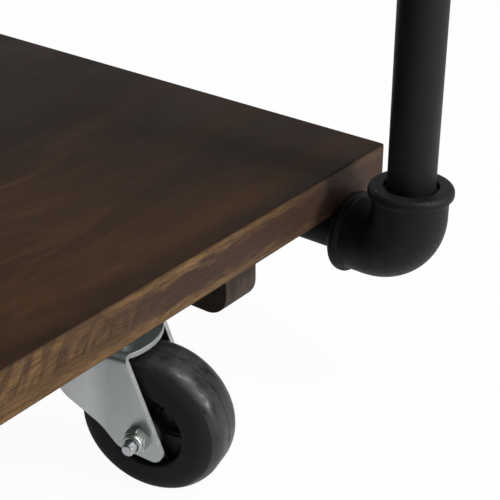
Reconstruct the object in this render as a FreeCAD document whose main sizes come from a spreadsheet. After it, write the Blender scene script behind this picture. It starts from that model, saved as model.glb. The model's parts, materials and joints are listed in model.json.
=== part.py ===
"""Bar cart on wheels: two wooden shelves in a frame of steel tube and cast fittings, on four swivel casters.

Frame of the model: +X runs along the shelves, -Y is the front, +Z is up.
The origin is on the floor, under the middle of the cart. All sizes are in millimetres and degrees.
"""
import FreeCAD, Part
import os
import re

import Sketcher
from FreeCAD import Placement, Rotation, Vector

# ---------------------------------------------------------------------------------------------------------
# Driving dimensions: the sheet's cells are the one place where a size is written
# ---------------------------------------------------------------------------------------------------------
SIZES = [
    # shelves and the battens under them
    ("shelf_length", 914.4, "length of both shelves, along X"),
    ("shelf_depth", 406.4, "depth of both shelves, along Y"),
    ("shelf_thickness", 25.4, "thickness of the shelf boards"),
    ("shelf_arris", 1.2, "rounding of the shelf's edges"),
    ("shelf_gap", 635.0, "top of the lower shelf to the underside of the upper one"),
    ("batten_width", 24.0, "width of a batten, along X"),
    ("batten_thickness", 25.4, "how far a batten hangs below its shelf"),
    ("batten_plate_gap", 5.5, "caster plate to the batten beside it"),
    ("batten_end_gap", 5.0, "shelf's long edge to the batten's end"),
    ("batten_nose", 13.3, "rounding of the lower edge at either end of a batten"),
    # tube and fittings
    ("tube_diameter", 25.4, "outside of every tube"),
    ("tube_wall", 2.0, "wall of every tube"),
    ("post_inset", 35.8, "shelf's end to the axis of the posts"),
    ("collar_gap", 1.5, "shelf's long edge to the fitting's mouth beside it"),
    ("handle_rise", 100.0, "upper shelf's top to the axis of the handle bar"),
    ("fitting_wall", 7.3, "tube's outside to the fitting's outside"),
    ("fitting_throat", 0.3, "radius left inside an elbow's bend"),
    ("band_rise", 2.5, "how far the band round a mouth stands out"),
    ("band_length", 5.2, "length of the band round a mouth"),
    ("band_rounding", 3.0, "rounding of the band's mouth edge"),
    ("band_back_rounding", 1.0, "rounding of the band's other edge"),
    ("mouth_gap", 1.7, "tube's outside to the countersunk mouth"),
    ("mouth_depth", 3.0, "depth of the countersunk mouth"),
    ("socket_depth", 15.0, "mouth to the shoulder that the tube meets"),
    ("socket_shoulder", 2.1, "straight stretch behind the socket"),
    ("socket_clearance", 0.1, "radial clearance of a tube in its socket"),
    # wood screws
    ("screw_diameter", 4.8, "shank of every wood screw"),
    ("screw_clearance", 0.1, "radial clearance of a screw in its hole"),
    ("screw_head_diameter", 9.5, "pan head of every wood screw"),
    ("screw_head_height", 2.8, "height of the pan head"),
    ("screw_tip_gap", 1.0, "hole left past the screw's end"),
    ("long_screw_bite", 14.0, "depth of a crossbar's screw in the shelf"),
    ("caster_screw_bite", 12.0, "depth of a caster's screw in the shelf"),
    ("batten_screw_outer", 150.0, "cart's middle to a batten's outer screws, along Y"),
    ("batten_screw_inner", 50.0, "cart's middle to a batten's inner screws, along Y"),
    ("crossbar_screw_reach", 110.0, "cart's middle to a crossbar's screws, along Y"),
    # caster: plate, race and kingpin
    ("caster_inset_x", 185.1, "shelf's end to the swivel axis"),
    ("caster_inset_y", 40.7, "shelf's long edge to the swivel axis"),
    ("caster_rest_angle", 14.0, "turn of every caster about its swivel axis at rest"),
    ("caster_trail", 29.2, "swivel axis to the axle"),
    ("plate_length", 92.0, "mounting plate along X"),
    ("plate_width", 63.5, "mounting plate along Y"),
    ("plate_thickness", 2.5, "sheet of the mounting plate"),
    ("plate_corner_radius", 8.0, "rounding of the plate's corners"),
    ("plate_hole_end", 8.0, "plate's end to its holes, along X"),
    ("plate_hole_side", 9.25, "plate's side to its holes, along Y"),
    ("race_depth", 8.65, "plate's underside to the race's lower face"),
    ("race_gap", 0.8, "plate's race to the fork's race"),
    ("fork_race_height", 4.0, "fork's race above the crown"),
    ("race_half_width", 3.75, "circle of the balls' centres to either wall of both races"),
    ("ball_diameter", 4.76, "swivel balls"),
    ("ball_pitch_radius", 14.25, "swivel axis to the balls' centres"),
    ("ball_clearance", 0.07, "radial clearance of a ball in its groove"),
    ("kingpin_diameter", 10.0, "kingpin's shank"),
    ("kingpin_clearance", 0.08, "radial clearance of the kingpin"),
    ("kingpin_head_diameter", 16.0, "kingpin's lower head"),
    ("kingpin_head_height", 3.0, "height of the lower head"),
    ("kingpin_head_gap", 0.15, "play between the crown and the lower head"),
    ("kingpin_rivet_diameter", 14.0, "upset end of the kingpin in the plate"),
    ("kingpin_rivet_height", 1.4, "height of the upset end"),
    # caster: fork
    ("fork_sheet", 2.9, "sheet of the fork"),
    ("fork_side_gap", 1.95, "wheel's side to the leg's inner face"),
    ("fork_bend_radius", 2.0, "inner radius of the crown's bends"),
    ("fork_headroom", 3.15, "wheel's top to the crown's underside"),
    ("crown_radius", 30.2, "round front and back of the crown"),
    ("leg_top_front", 23.6, "swivel axis to the leg's front edge, at the crown"),
    ("leg_top_back", 22.8, "swivel axis to the leg's back edge, at the crown"),
    ("toe_reach", 14.6, "toe of the leg, in front of the axle"),
    ("toe_drop", 14.2, "toe of the leg, below the axle"),
    ("heel_reach", 12.0, "heel of the leg, behind the axle"),
    ("heel_drop", 9.0, "heel of the leg, below the axle"),
    ("waist_reach", 20.6, "hollow of the leg's back edge, behind the axle"),
    ("waist_rise", 1.2, "hollow of the leg's back edge, above the axle"),
    ("hip_reach", 42.0, "hip of the leg's back edge, behind the axle"),
    ("hip_rise", 14.8, "hip of the leg's back edge, above the axle"),
    ("toe_radius", 5.0, "rounding of the toe"),
    ("heel_radius", 7.0, "rounding of the heel"),
    ("waist_radius", 24.0, "rounding of the hollow"),
    ("hip_radius", 15.0, "rounding of the hip"),
    # caster: wheel, bushing and axle bolt
    ("wheel_diameter", 76.2, "tread of the wheel"),
    ("wheel_width", 31.1, "width over the wheel's side faces"),
    ("tread_rounding", 11.0, "rounding from the tread to the side faces"),
    ("recess_radius", 20.0, "outside of the dished recess in each side"),
    ("web_thickness", 11.0, "web between the two recesses"),
    ("hub_radius", 9.5, "outside of the wheel's hub"),
    ("hub_gap", 0.3, "hub's end to the leg's inner face"),
    ("rib_width", 3.0, "ribs in the recess"),
    ("rib_thickness", 24.0, "ribs over both sides"),
    ("rib_count", 6, "ribs round the hub"),
    ("bushing_diameter", 10.0, "outside of the steel bushing in the hub"),
    ("bushing_clearance", 0.08, "radial clearance of the hub on its bushing"),
    ("bushing_end_gap", 0.05, "bushing's end to the leg's inner face"),
    ("axle_diameter", 6.35, "shank of the axle bolt"),
    ("axle_clearance", 0.08, "radial clearance of the bolt in the bushing, legs and nut"),
    ("axle_hex", 11.1, "width across the flats of the bolt's head and the nut"),
    ("axle_hex_turn", 37.0, "turn of the hexagons about the axle"),
    ("axle_head_height", 4.4, "height of the bolt's head"),
    ("axle_nut_height", 4.8, "height of the nut's hexagon"),
    ("nut_collar_height", 2.4, "height of the locking collar on the nut"),
    ("nut_collar_diameter", 10.6, "outside of the locking collar"),
    ("axle_tip_length", 4.6, "bolt's end past the nut's collar"),
    ("axle_tip_chamfer", 0.8, "chamfer of the bolt's end"),
]
BALL_COUNT = 12

# ---------------------------------------------------------------------------------------------------------
# Places that follow from the driving dimensions, as expressions
# ---------------------------------------------------------------------------------------------------------
TUBE_RADIUS = "(tube_diameter / 2)"
BORE_RADIUS = "(tube_diameter / 2 - tube_wall)"
SOCKET_RADIUS = "(tube_diameter / 2 + socket_clearance)"
MOUTH_RADIUS = "(tube_diameter / 2 + mouth_gap)"
FITTING_RADIUS = "(tube_diameter / 2 + fitting_wall)"
BAND_RADIUS = f"({FITTING_RADIUS} + band_rise)"
BEND_RADIUS = f"({FITTING_RADIUS} + fitting_throat)"
FITTING_REACH = f"({BEND_RADIUS} + socket_shoulder + socket_depth)"
TUBE_START = f"({FITTING_REACH} - socket_depth)"

WHEEL_RADIUS = "(wheel_diameter / 2)"
CROWN_RISE = f"({WHEEL_RADIUS} + fork_headroom + fork_sheet)"
RACE_TOP = f"({CROWN_RISE} + fork_race_height)"
BALL_RISE = f"({RACE_TOP} + race_gap / 2)"
PLATE_TOP = f"({RACE_TOP} + race_gap + race_depth + plate_thickness)"
LEG_INSIDE = "(wheel_width / 2 + fork_side_gap)"
LEG_OUTSIDE = f"({LEG_INSIDE} + fork_sheet)"
CASTER_HEIGHT = f"({WHEEL_RADIUS} + {PLATE_TOP})"
RACE_OUTER_RADIUS = "(ball_pitch_radius + race_half_width)"
RACE_INNER_RADIUS = "(ball_pitch_radius - race_half_width)"
PLATE_HOLE_X = "(plate_length / 2 - plate_hole_end)"
PLATE_HOLE_Y = "(plate_width / 2 - plate_hole_side)"
SWIVEL_X = "(shelf_length / 2 - caster_inset_x)"
SWIVEL_Y = "(shelf_depth / 2 - caster_inset_y)"

LOWER_UNDERSIDE = CASTER_HEIGHT
LOWER_TOP = f"({LOWER_UNDERSIDE} + shelf_thickness)"
UPPER_UNDERSIDE = f"({LOWER_TOP} + shelf_gap)"
UPPER_TOP = f"({UPPER_UNDERSIDE} + shelf_thickness)"
POST_X = "(shelf_length / 2 - post_inset)"
POST_Y = f"(shelf_depth / 2 + collar_gap + {FITTING_REACH})"
LOWER_BAR_Z = f"({LOWER_UNDERSIDE} - {TUBE_RADIUS})"
UPPER_BAR_Z = f"({UPPER_UNDERSIDE} - {TUBE_RADIUS})"
HANDLE_Z = f"({UPPER_TOP} + handle_rise)"
BATTEN_X = f"({SWIVEL_X} + plate_length / 2 + batten_plate_gap + batten_width / 2)"
LONG_SCREW = "(tube_diameter + long_screw_bite)"
SCREW_HOLE_RADIUS = "(screw_diameter / 2 + screw_clearance)"

ENDS = {"left": -1, "right": 1}
SIDES = {"front": -1, "rear": 1}
CORNERS = {f"{side}_{end}": (x, y) for side, y in SIDES.items() for end, x in ENDS.items()}

doc = FreeCAD.newDocument("bar_cart")
sheet = doc.addObject("Spreadsheet::Sheet", "sizes")
for row, (alias, size, meaning) in enumerate(SIZES, start=1):
    sheet.set(f"A{row}", meaning)
    sheet.set(f"B{row}", str(size))
    sheet.setAlias(f"B{row}", alias)
doc.recompute()
ALIASES = {alias for alias, _, _ in SIZES}
PIECES = []


# ---------------------------------------------------------------------------------------------------------
# Small helpers
# ---------------------------------------------------------------------------------------------------------
def in_sheet(text):
    """The expression with every alias written as the sheet's own cell."""
    return re.sub(r"[a-z_]+", lambda word: f"sizes.{word[0]}" if word[0] in ALIASES else word[0], text)


def number(text):
    """The expression's value now."""
    return float(sheet.evalExpression(in_sheet(text)))


def signed(sign, text):
    return f"({sign} * {text})"


def bind(thing, path, text):
    thing.setExpression(path, in_sheet(text))


def new_body(name):
    body = doc.addObject("PartDesign::Body", name)
    body.Label = name
    PIECES.append(body)
    return body


def new_sketch(body, plane, level=None):
    """A sketch on one of the body's own origin planes, lifted along the plane's normal by level."""
    sketch = body.newObject("Sketcher::SketchObject", f"{body.Name}_sketch")
    support = next(item for item in body.Origin.OriginFeatures if item.Role == f"{plane}_Plane")
    sketch.AttachmentSupport = (support, [""])
    sketch.MapMode = "FlatFace"
    if level:
        bind(sketch, "AttachmentOffset.Base.z", level)
    return sketch


def constrain(sketch, kind, *places, text):
    index = sketch.addConstraint(Sketcher.Constraint(kind, *places, number(text)))
    bind(sketch, f"Constraints[{index}]", text)


def pin_point(sketch, geometry, vertex, place):
    """Holds a point of the geometry at a place measured from the sketch's origin."""
    constrain(sketch, "DistanceX", -1, 1, geometry, vertex, text=place[0])
    constrain(sketch, "DistanceY", -1, 1, geometry, vertex, text=place[1])


def point(place):
    return Vector(number(place[0]), number(place[1]), 0)


def polygon(sketch, places):
    """A closed outline through the places, each a pair of expressions."""
    first = sketch.GeometryCount
    count = len(places)
    for i, place in enumerate(places):
        sketch.addGeometry(Part.LineSegment(point(place), point(places[(i + 1) % count])), False)
    for i, place in enumerate(places):
        sketch.addConstraint(Sketcher.Constraint("Coincident", first + i, 2, first + (i + 1) % count, 1))
        pin_point(sketch, first + i, 1, place)


def rectangle(sketch, low, high):
    polygon(sketch, [low, (high[0], low[1]), high, (low[0], high[1])])


def circle(sketch, place, radius):
    index = sketch.addGeometry(Part.Circle(point(place), Vector(0, 0, 1), number(radius)), False)
    pin_point(sketch, index, 3, place)
    constrain(sketch, "Radius", index, text=radius)


def hexagon(sketch, flats, turn):
    """A regular hexagon about the sketch's origin, turned by an angle."""
    corner = f"({flats} / 2 / cos(30))"
    angles = [f"({turn} + {60 * k})" for k in range(6)]
    polygon(sketch, [(f"{corner} * cos({angle})", f"{corner} * sin({angle})") for angle in angles])


def extrude(body, sketch, length, symmetric=False, backwards=False):
    pad = body.newObject("PartDesign::Pad", f"{body.Name}_pad")
    pad.Profile = sketch
    pad.SideType = "Symmetric" if symmetric else "One side"
    pad.Reversed = backwards
    bind(pad, "Length", length)
    return pad


def check_cut(body, feature, before):
    doc.recompute()
    if feature.Shape.Volume > before - 1e-6:
        raise RuntimeError(f"{feature.Name} cuts nothing from {body.Label}")


def cut(body, sketch, depth=None, symmetric=False, backwards=False):
    """A pocket: right through the body where no depth is given."""
    doc.recompute()
    before = body.Shape.Volume
    pocket = body.newObject("PartDesign::Pocket", f"{body.Name}_pocket")
    pocket.Profile = sketch
    pocket.SideType = "Symmetric" if symmetric else "One side"
    pocket.Reversed = backwards
    if depth:
        bind(pocket, "Length", depth)
    else:
        pocket.Type = "ThroughAll"
    check_cut(body, pocket, before)
    return pocket


def revolve(body, sketch, axis="V_Axis", angle=360, backwards=False):
    turned = body.newObject("PartDesign::Revolution", f"{body.Name}_revolution")
    turned.Profile = sketch
    turned.ReferenceAxis = (sketch, [axis])
    turned.Angle = angle
    turned.Reversed = backwards
    return turned


def groove(body, sketch, axis="V_Axis"):
    doc.recompute()
    before = body.Shape.Volume
    turned = body.newObject("PartDesign::Groove", f"{body.Name}_groove")
    turned.Profile = sketch
    turned.ReferenceAxis = (sketch, [axis])
    turned.Angle = 360
    check_cut(body, turned, before)
    return turned


def round_edges(body, test, radius):
    """Rounds the edges of the body's last feature that pass the test."""
    doc.recompute()
    base = body.Tip
    names = [f"Edge{i}" for i, edge in enumerate(base.Shape.Edges, start=1) if test(edge)]
    if not names:
        raise RuntimeError(f"no edge to round on {body.Label}")
    fillet = body.newObject("PartDesign::Fillet", f"{body.Name}_fillet")
    fillet.Base = (base, names)
    bind(fillet, "Radius", radius)
    return fillet


def near(a, b):
    return abs(a - b) < 0.001


def edge_through(x=None, y=None, z=None):
    """A test for edges all of whose points have the coordinates given."""
    wanted = [(axis, number(text)) for axis, text in zip("xyz", (x, y, z)) if text is not None]

    def test(edge):
        points = [vertex.Point for vertex in edge.Vertexes]
        return all(near(getattr(spot, axis), value) for spot in points for axis, value in wanted)
    return test


def upright_corners(half_x, half_y):
    """A test for the four upright edges of a block about the body's origin."""
    corners = [edge_through(x=signed(i, half_x), y=signed(j, half_y)) for i in (-1, 1) for j in (-1, 1)]
    return lambda edge: any(test(edge) for test in corners)


def round_edge_at(radius, distance):
    """A test for full circles of a radius whose centre is a distance from the piece's origin."""
    def test(edge):
        return (isinstance(edge.Curve, Part.Circle) and near(edge.Curve.Radius, number(radius))
                and near(edge.Curve.Center.Length, number(distance)))
    return test


def place(thing, x="0", y="0", z="0", turn=0):
    """Sets the piece down in the cart's frame, turned about Z."""
    thing.Placement = Placement(Vector(number(x), number(y), number(z)), Rotation(Vector(0, 0, 1), turn))
    for axis, text in zip("xyz", (x, y, z)):
        bind(thing, f"Placement.Base.{axis}", text)


# ---------------------------------------------------------------------------------------------------------
# Where the screws go, as pairs of expressions
# ---------------------------------------------------------------------------------------------------------
def batten_screw_reaches():
    return [signed(side, reach) for side in (-1, 1) for reach in ("batten_screw_outer", "batten_screw_inner")]


def batten_screw_places():
    return [(signed(end, BATTEN_X), y) for end in (-1, 1) for y in batten_screw_reaches()]


def crossbar_screw_places():
    reaches = [signed(side, "crossbar_screw_reach") for side in (-1, 1)]
    return [(signed(end, POST_X), y) for end in (-1, 1) for y in reaches]


def swivel_places():
    return [(signed(x, SWIVEL_X), signed(y, SWIVEL_Y)) for x, y in CORNERS.values()]


def plate_hole_places():
    return [(signed(x, PLATE_HOLE_X), signed(y, PLATE_HOLE_Y)) for x in (-1, 1) for y in (-1, 1)]


def caster_screw_places():
    return [(f"({x} + {dx})", f"({y} + {dy})") for x, y in swivel_places() for dx, dy in plate_hole_places()]


# ---------------------------------------------------------------------------------------------------------
# Wooden pieces and their screws
# ---------------------------------------------------------------------------------------------------------
def pilot_holes(body, places, depth):
    sketch = new_sketch(body, "XY")
    for spot in places:
        circle(sketch, spot, SCREW_HOLE_RADIUS)
    cut(body, sketch, depth=f"({depth} + screw_tip_gap)", backwards=True)


def shelf(name, underside, has_casters):
    body = new_body(name)
    sketch = new_sketch(body, "XY")
    rectangle(sketch, ("-shelf_length / 2", "-shelf_depth / 2"), ("shelf_length / 2", "shelf_depth / 2"))
    extrude(body, sketch, "shelf_thickness")
    round_edges(body, lambda edge: True, "shelf_arris")
    pilot_holes(body, batten_screw_places(), f"({LONG_SCREW} - batten_thickness)")
    pilot_holes(body, crossbar_screw_places(), "long_screw_bite")
    if has_casters:
        pilot_holes(body, caster_screw_places(), "caster_screw_bite")
    place(body, z=underside)


def batten(name, end, underside):
    """A batten hung from a shelf's underside: square sides, and a nose under either end."""
    body = new_body(name)
    half_length = "(shelf_depth / 2 - batten_end_gap)"
    sketch = new_sketch(body, "XY")
    rectangle(sketch, ("-batten_width / 2", f"-{half_length}"), ("batten_width / 2", half_length))
    extrude(body, sketch, "batten_thickness", backwards=True)
    noses = [edge_through(y=signed(i, half_length), z="-batten_thickness") for i in (-1, 1)]
    round_edges(body, lambda edge: any(test(edge) for test in noses), "batten_nose")
    sketch = new_sketch(body, "XY")
    for y in batten_screw_reaches():
        circle(sketch, ("0", y), SCREW_HOLE_RADIUS)
    cut(body, sketch)
    place(body, x=signed(end, BATTEN_X), z=underside)


def screws(body, places, seat, length):
    """Pan-head wood screws that point up, with the underside of their heads at the seat's height."""
    shanks = new_sketch(body, "XY", level=seat)
    heads = new_sketch(body, "XY", level=seat)
    for spot in places:
        circle(shanks, spot, "screw_diameter / 2")
        circle(heads, spot, "screw_head_diameter / 2")
    extrude(body, shanks, length)
    extrude(body, heads, "screw_head_height", backwards=True)


# ---------------------------------------------------------------------------------------------------------
# Tubes and cast fittings
# ---------------------------------------------------------------------------------------------------------
def tube(name, plane, length):
    """A tube centred on its own origin, along the plane's normal."""
    body = new_body(name)
    sketch = new_sketch(body, plane)
    circle(sketch, ("0", "0"), TUBE_RADIUS)
    circle(sketch, ("0", "0"), BORE_RADIUS)
    extrude(body, sketch, length, symmetric=True)
    return body


def post(name, x, y, low, high):
    body = tube(name, "XY", f"({high} - {low} - 2 * {TUBE_START})")
    place(body, x=signed(x, POST_X), y=signed(y, POST_Y), z=f"({low} + {high}) / 2")


def cross_tube(name, end, level, screwed):
    body = tube(name, "XZ", f"(2 * {POST_Y} - 2 * {TUBE_START})")
    if screwed:
        sketch = new_sketch(body, "XY")
        for side in (-1, 1):
            circle(sketch, ("0", signed(side, "crossbar_screw_reach")), SCREW_HOLE_RADIUS)
        cut(body, sketch, symmetric=True)
    place(body, x=signed(end, POST_X), z=level)


def round_bands(body):
    round_edges(body, round_edge_at(BAND_RADIUS, FITTING_REACH), "band_rounding")
    round_edges(body, round_edge_at(BAND_RADIUS, f"{FITTING_REACH} - band_length"), "band_back_rounding")


def branch_wall(sketch):
    """Half section of one elbow branch, from the bend to its mouth."""
    polygon(sketch, [
        (FITTING_RADIUS, BEND_RADIUS),
        (FITTING_RADIUS, f"{FITTING_REACH} - band_length"),
        (BAND_RADIUS, f"{FITTING_REACH} - band_length"),
        (BAND_RADIUS, FITTING_REACH),
        (MOUTH_RADIUS, FITTING_REACH),
        (MOUTH_RADIUS, f"{FITTING_REACH} - mouth_depth"),
        (SOCKET_RADIUS, f"{FITTING_REACH} - mouth_depth"),
        (SOCKET_RADIUS, TUBE_START),
        (BORE_RADIUS, TUBE_START),
        (BORE_RADIUS, BEND_RADIUS),
    ])


def elbow(name, x, y, level, upside_down=False):
    """A right-angle elbow with one mouth up, or down, and one towards the cart's middle."""
    body = new_body(name)
    bend = new_sketch(body, "XY", level=BEND_RADIUS)
    circle(bend, ("0", "0"), FITTING_RADIUS)
    circle(bend, ("0", "0"), BORE_RADIUS)
    middle = bend.addGeometry(Part.LineSegment(Vector(-1, number(BEND_RADIUS), 0),
                                               Vector(1, number(BEND_RADIUS), 0)), True)
    pin_point(bend, middle, 1, ("-1", BEND_RADIUS))
    pin_point(bend, middle, 2, ("1", BEND_RADIUS))
    revolve(body, bend, axis="Axis0", angle=90)
    for plane in ("XZ", "XY"):
        wall = new_sketch(body, plane)
        branch_wall(wall)
        revolve(body, wall)
    round_bands(body)
    place(body, x=signed(x, POST_X), y=signed(y, POST_Y), z=level)
    towards_middle = Rotation(Vector(0, 0, 1), 0 if y < 0 else 180)
    flip = Rotation(Vector(0, 1, 0), 180 if upside_down else 0)
    body.Placement.Rotation = towards_middle * flip


def tee(name, x, y, level):
    """A tee with its run upright and its branch towards the cart's middle."""
    body = new_body(name)
    band_start = f"({FITTING_REACH} - band_length)"
    half = [(FITTING_RADIUS, band_start), (BAND_RADIUS, band_start), (BAND_RADIUS, FITTING_REACH),
            ("0", FITTING_REACH)]
    run = new_sketch(body, "XZ")
    polygon(run, half + [(radius, f"-{distance}") for radius, distance in reversed(half)])
    revolve(body, run)
    branch = new_sketch(body, "XY")
    polygon(branch, [("0", "0"), (FITTING_RADIUS, "0")] + half)
    revolve(body, branch)
    round_bands(body)
    mouth_floor = f"({FITTING_REACH} - mouth_depth)"
    socket = [(BORE_RADIUS, TUBE_START), (SOCKET_RADIUS, TUBE_START), (SOCKET_RADIUS, mouth_floor),
              (MOUTH_RADIUS, mouth_floor), (MOUTH_RADIUS, FITTING_REACH), ("0", FITTING_REACH)]
    run_bore = new_sketch(body, "XZ")
    polygon(run_bore, socket + [(radius, f"-{distance}") for radius, distance in reversed(socket)])
    groove(body, run_bore)
    branch_bore = new_sketch(body, "XY")
    polygon(branch_bore, [("0", "0"), (BORE_RADIUS, "0")] + socket)
    groove(body, branch_bore)
    place(body, x=signed(x, POST_X), y=signed(y, POST_Y), z=level, turn=0 if y < 0 else 180)


# ---------------------------------------------------------------------------------------------------------
# Casters. Their pieces are modelled about the swivel axis, or about the axle, with the axle along X.
# ---------------------------------------------------------------------------------------------------------
def place_on_swivel(body, x, y, level, turned=True):
    place(body, x=signed(x, SWIVEL_X), y=signed(y, SWIVEL_Y), z=level,
          turn=number("caster_rest_angle") if turned else 0)
    if turned:
        bind(body, "Placement.Rotation.Angle", "caster_rest_angle")


def place_on_axle(body, x, y):
    place(body, x=f"{signed(x, SWIVEL_X)} + caster_trail * sin(caster_rest_angle)",
          y=f"{signed(y, SWIVEL_Y)} - caster_trail * cos(caster_rest_angle)", z=WHEEL_RADIUS,
          turn=number("caster_rest_angle"))
    bind(body, "Placement.Rotation.Angle", "caster_rest_angle")


def ball_groove(body, level):
    """The round channel that the swivel balls run in."""
    channel = new_sketch(body, "XZ")
    circle(channel, ("ball_pitch_radius", level), "ball_diameter / 2 + ball_clearance")
    groove(body, channel)


def caster_plate(name, x, y):
    """Mounting plate with its race pressed below it; its own origin is on the swivel axis, at its top."""
    body = new_body(name)
    outline = new_sketch(body, "XY")
    rectangle(outline, ("-plate_length / 2", "-plate_width / 2"), ("plate_length / 2", "plate_width / 2"))
    extrude(body, outline, "plate_thickness", backwards=True)
    round_edges(body, upright_corners("plate_length / 2", "plate_width / 2"), "plate_corner_radius")
    race = new_sketch(body, "XY")
    circle(race, ("0", "0"), RACE_OUTER_RADIUS)
    extrude(body, race, "plate_thickness + race_depth", backwards=True)
    hollow = new_sketch(body, "XY", level="-plate_thickness")
    circle(hollow, ("0", "0"), RACE_INNER_RADIUS)
    cut(body, hollow, depth="race_depth")
    ball_groove(body, f"{BALL_RISE} - {PLATE_TOP}")
    holes = new_sketch(body, "XY")
    for spot in plate_hole_places():
        circle(holes, spot, SCREW_HOLE_RADIUS)
    circle(holes, ("0", "0"), "kingpin_diameter / 2 + kingpin_clearance")
    cut(body, holes)
    rivet_seat = new_sketch(body, "XY")
    circle(rivet_seat, ("0", "0"), "kingpin_rivet_diameter / 2 + kingpin_clearance")
    cut(body, rivet_seat, depth="kingpin_rivet_height")
    place_on_swivel(body, x, y, CASTER_HEIGHT, turned=False)


def kingpins(name):
    """The four kingpins: upset in the plate above, with a round head under the crown."""
    body = new_body(name)
    head_top = f"({WHEEL_RADIUS} + {CROWN_RISE} - fork_sheet - kingpin_head_gap)"
    for level, radius, height in (
            (CASTER_HEIGHT, "kingpin_rivet_diameter / 2", "kingpin_rivet_height"),
            (CASTER_HEIGHT, "kingpin_diameter / 2", f"{CASTER_HEIGHT} - {head_top}"),
            (head_top, "kingpin_head_diameter / 2", "kingpin_head_height")):
        sketch = new_sketch(body, "XY", level=level)
        for spot in swivel_places():
            circle(sketch, spot, radius)
        extrude(body, sketch, height, backwards=True)


def swivel_balls(name):
    """A ring of balls in each caster's race."""
    step = 360 / BALL_COUNT
    level = number(f"{WHEEL_RADIUS} + {BALL_RISE}")
    arm = Vector(number("ball_pitch_radius"), 0, 0)
    balls = []
    for x, y in swivel_places():
        middle = Vector(number(x), number(y), level)
        for k in range(BALL_COUNT):
            centre = middle + Rotation(Vector(0, 0, 1), k * step).multVec(arm)
            balls.append(Part.makeSphere(number("ball_diameter / 2"), centre))
    group = doc.addObject("Part::Feature", name)
    group.Shape = Part.makeCompound(balls)
    PIECES.append(group)


def flattened_disc(sketch, radius, flat):
    """A disc about the sketch's origin with two flats, at +flat and -flat along the sketch's X."""
    r, x = number(radius), number(flat)
    y = (r * r - x * x) ** 0.5
    front = sketch.addGeometry(Part.Arc(Vector(-x, -y, 0), Vector(0, -r, 0), Vector(x, -y, 0)), False)
    rear = sketch.addGeometry(Part.Arc(Vector(x, y, 0), Vector(0, r, 0), Vector(-x, y, 0)), False)
    right = sketch.addGeometry(Part.LineSegment(Vector(x, -y, 0), Vector(x, y, 0)), False)
    left = sketch.addGeometry(Part.LineSegment(Vector(-x, y, 0), Vector(-x, -y, 0)), False)
    for arc in (front, rear):
        pin_point(sketch, arc, 3, ("0", "0"))
        constrain(sketch, "Radius", arc, text=radius)
    outline = (front, right, rear, left)
    for i, piece in enumerate(outline):
        sketch.addConstraint(Sketcher.Constraint("Coincident", piece, 2, outline[(i + 1) % 4], 1))
    for line, text in ((right, flat), (left, f"-{flat}")):
        constrain(sketch, "DistanceX", -1, 1, line, 1, text=text)
        constrain(sketch, "DistanceX", -1, 1, line, 2, text=text)


def leg_outline():
    """Side view of the fork's legs about the swivel axis: (along Y, above the axle)."""
    above = f"({CROWN_RISE} + fork_sheet)"
    return {
        "top_front": ("-leg_top_front", above),
        "front": ("-leg_top_front", CROWN_RISE),
        "toe": ("-caster_trail - toe_reach", "-toe_drop"),
        "heel": ("-caster_trail + heel_reach", "-heel_drop"),
        "waist": ("-caster_trail + waist_reach", "waist_rise"),
        "hip": ("-caster_trail + hip_reach", "hip_rise"),
        "back": ("leg_top_back", CROWN_RISE),
        "top_back": ("leg_top_back", above),
    }


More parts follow.
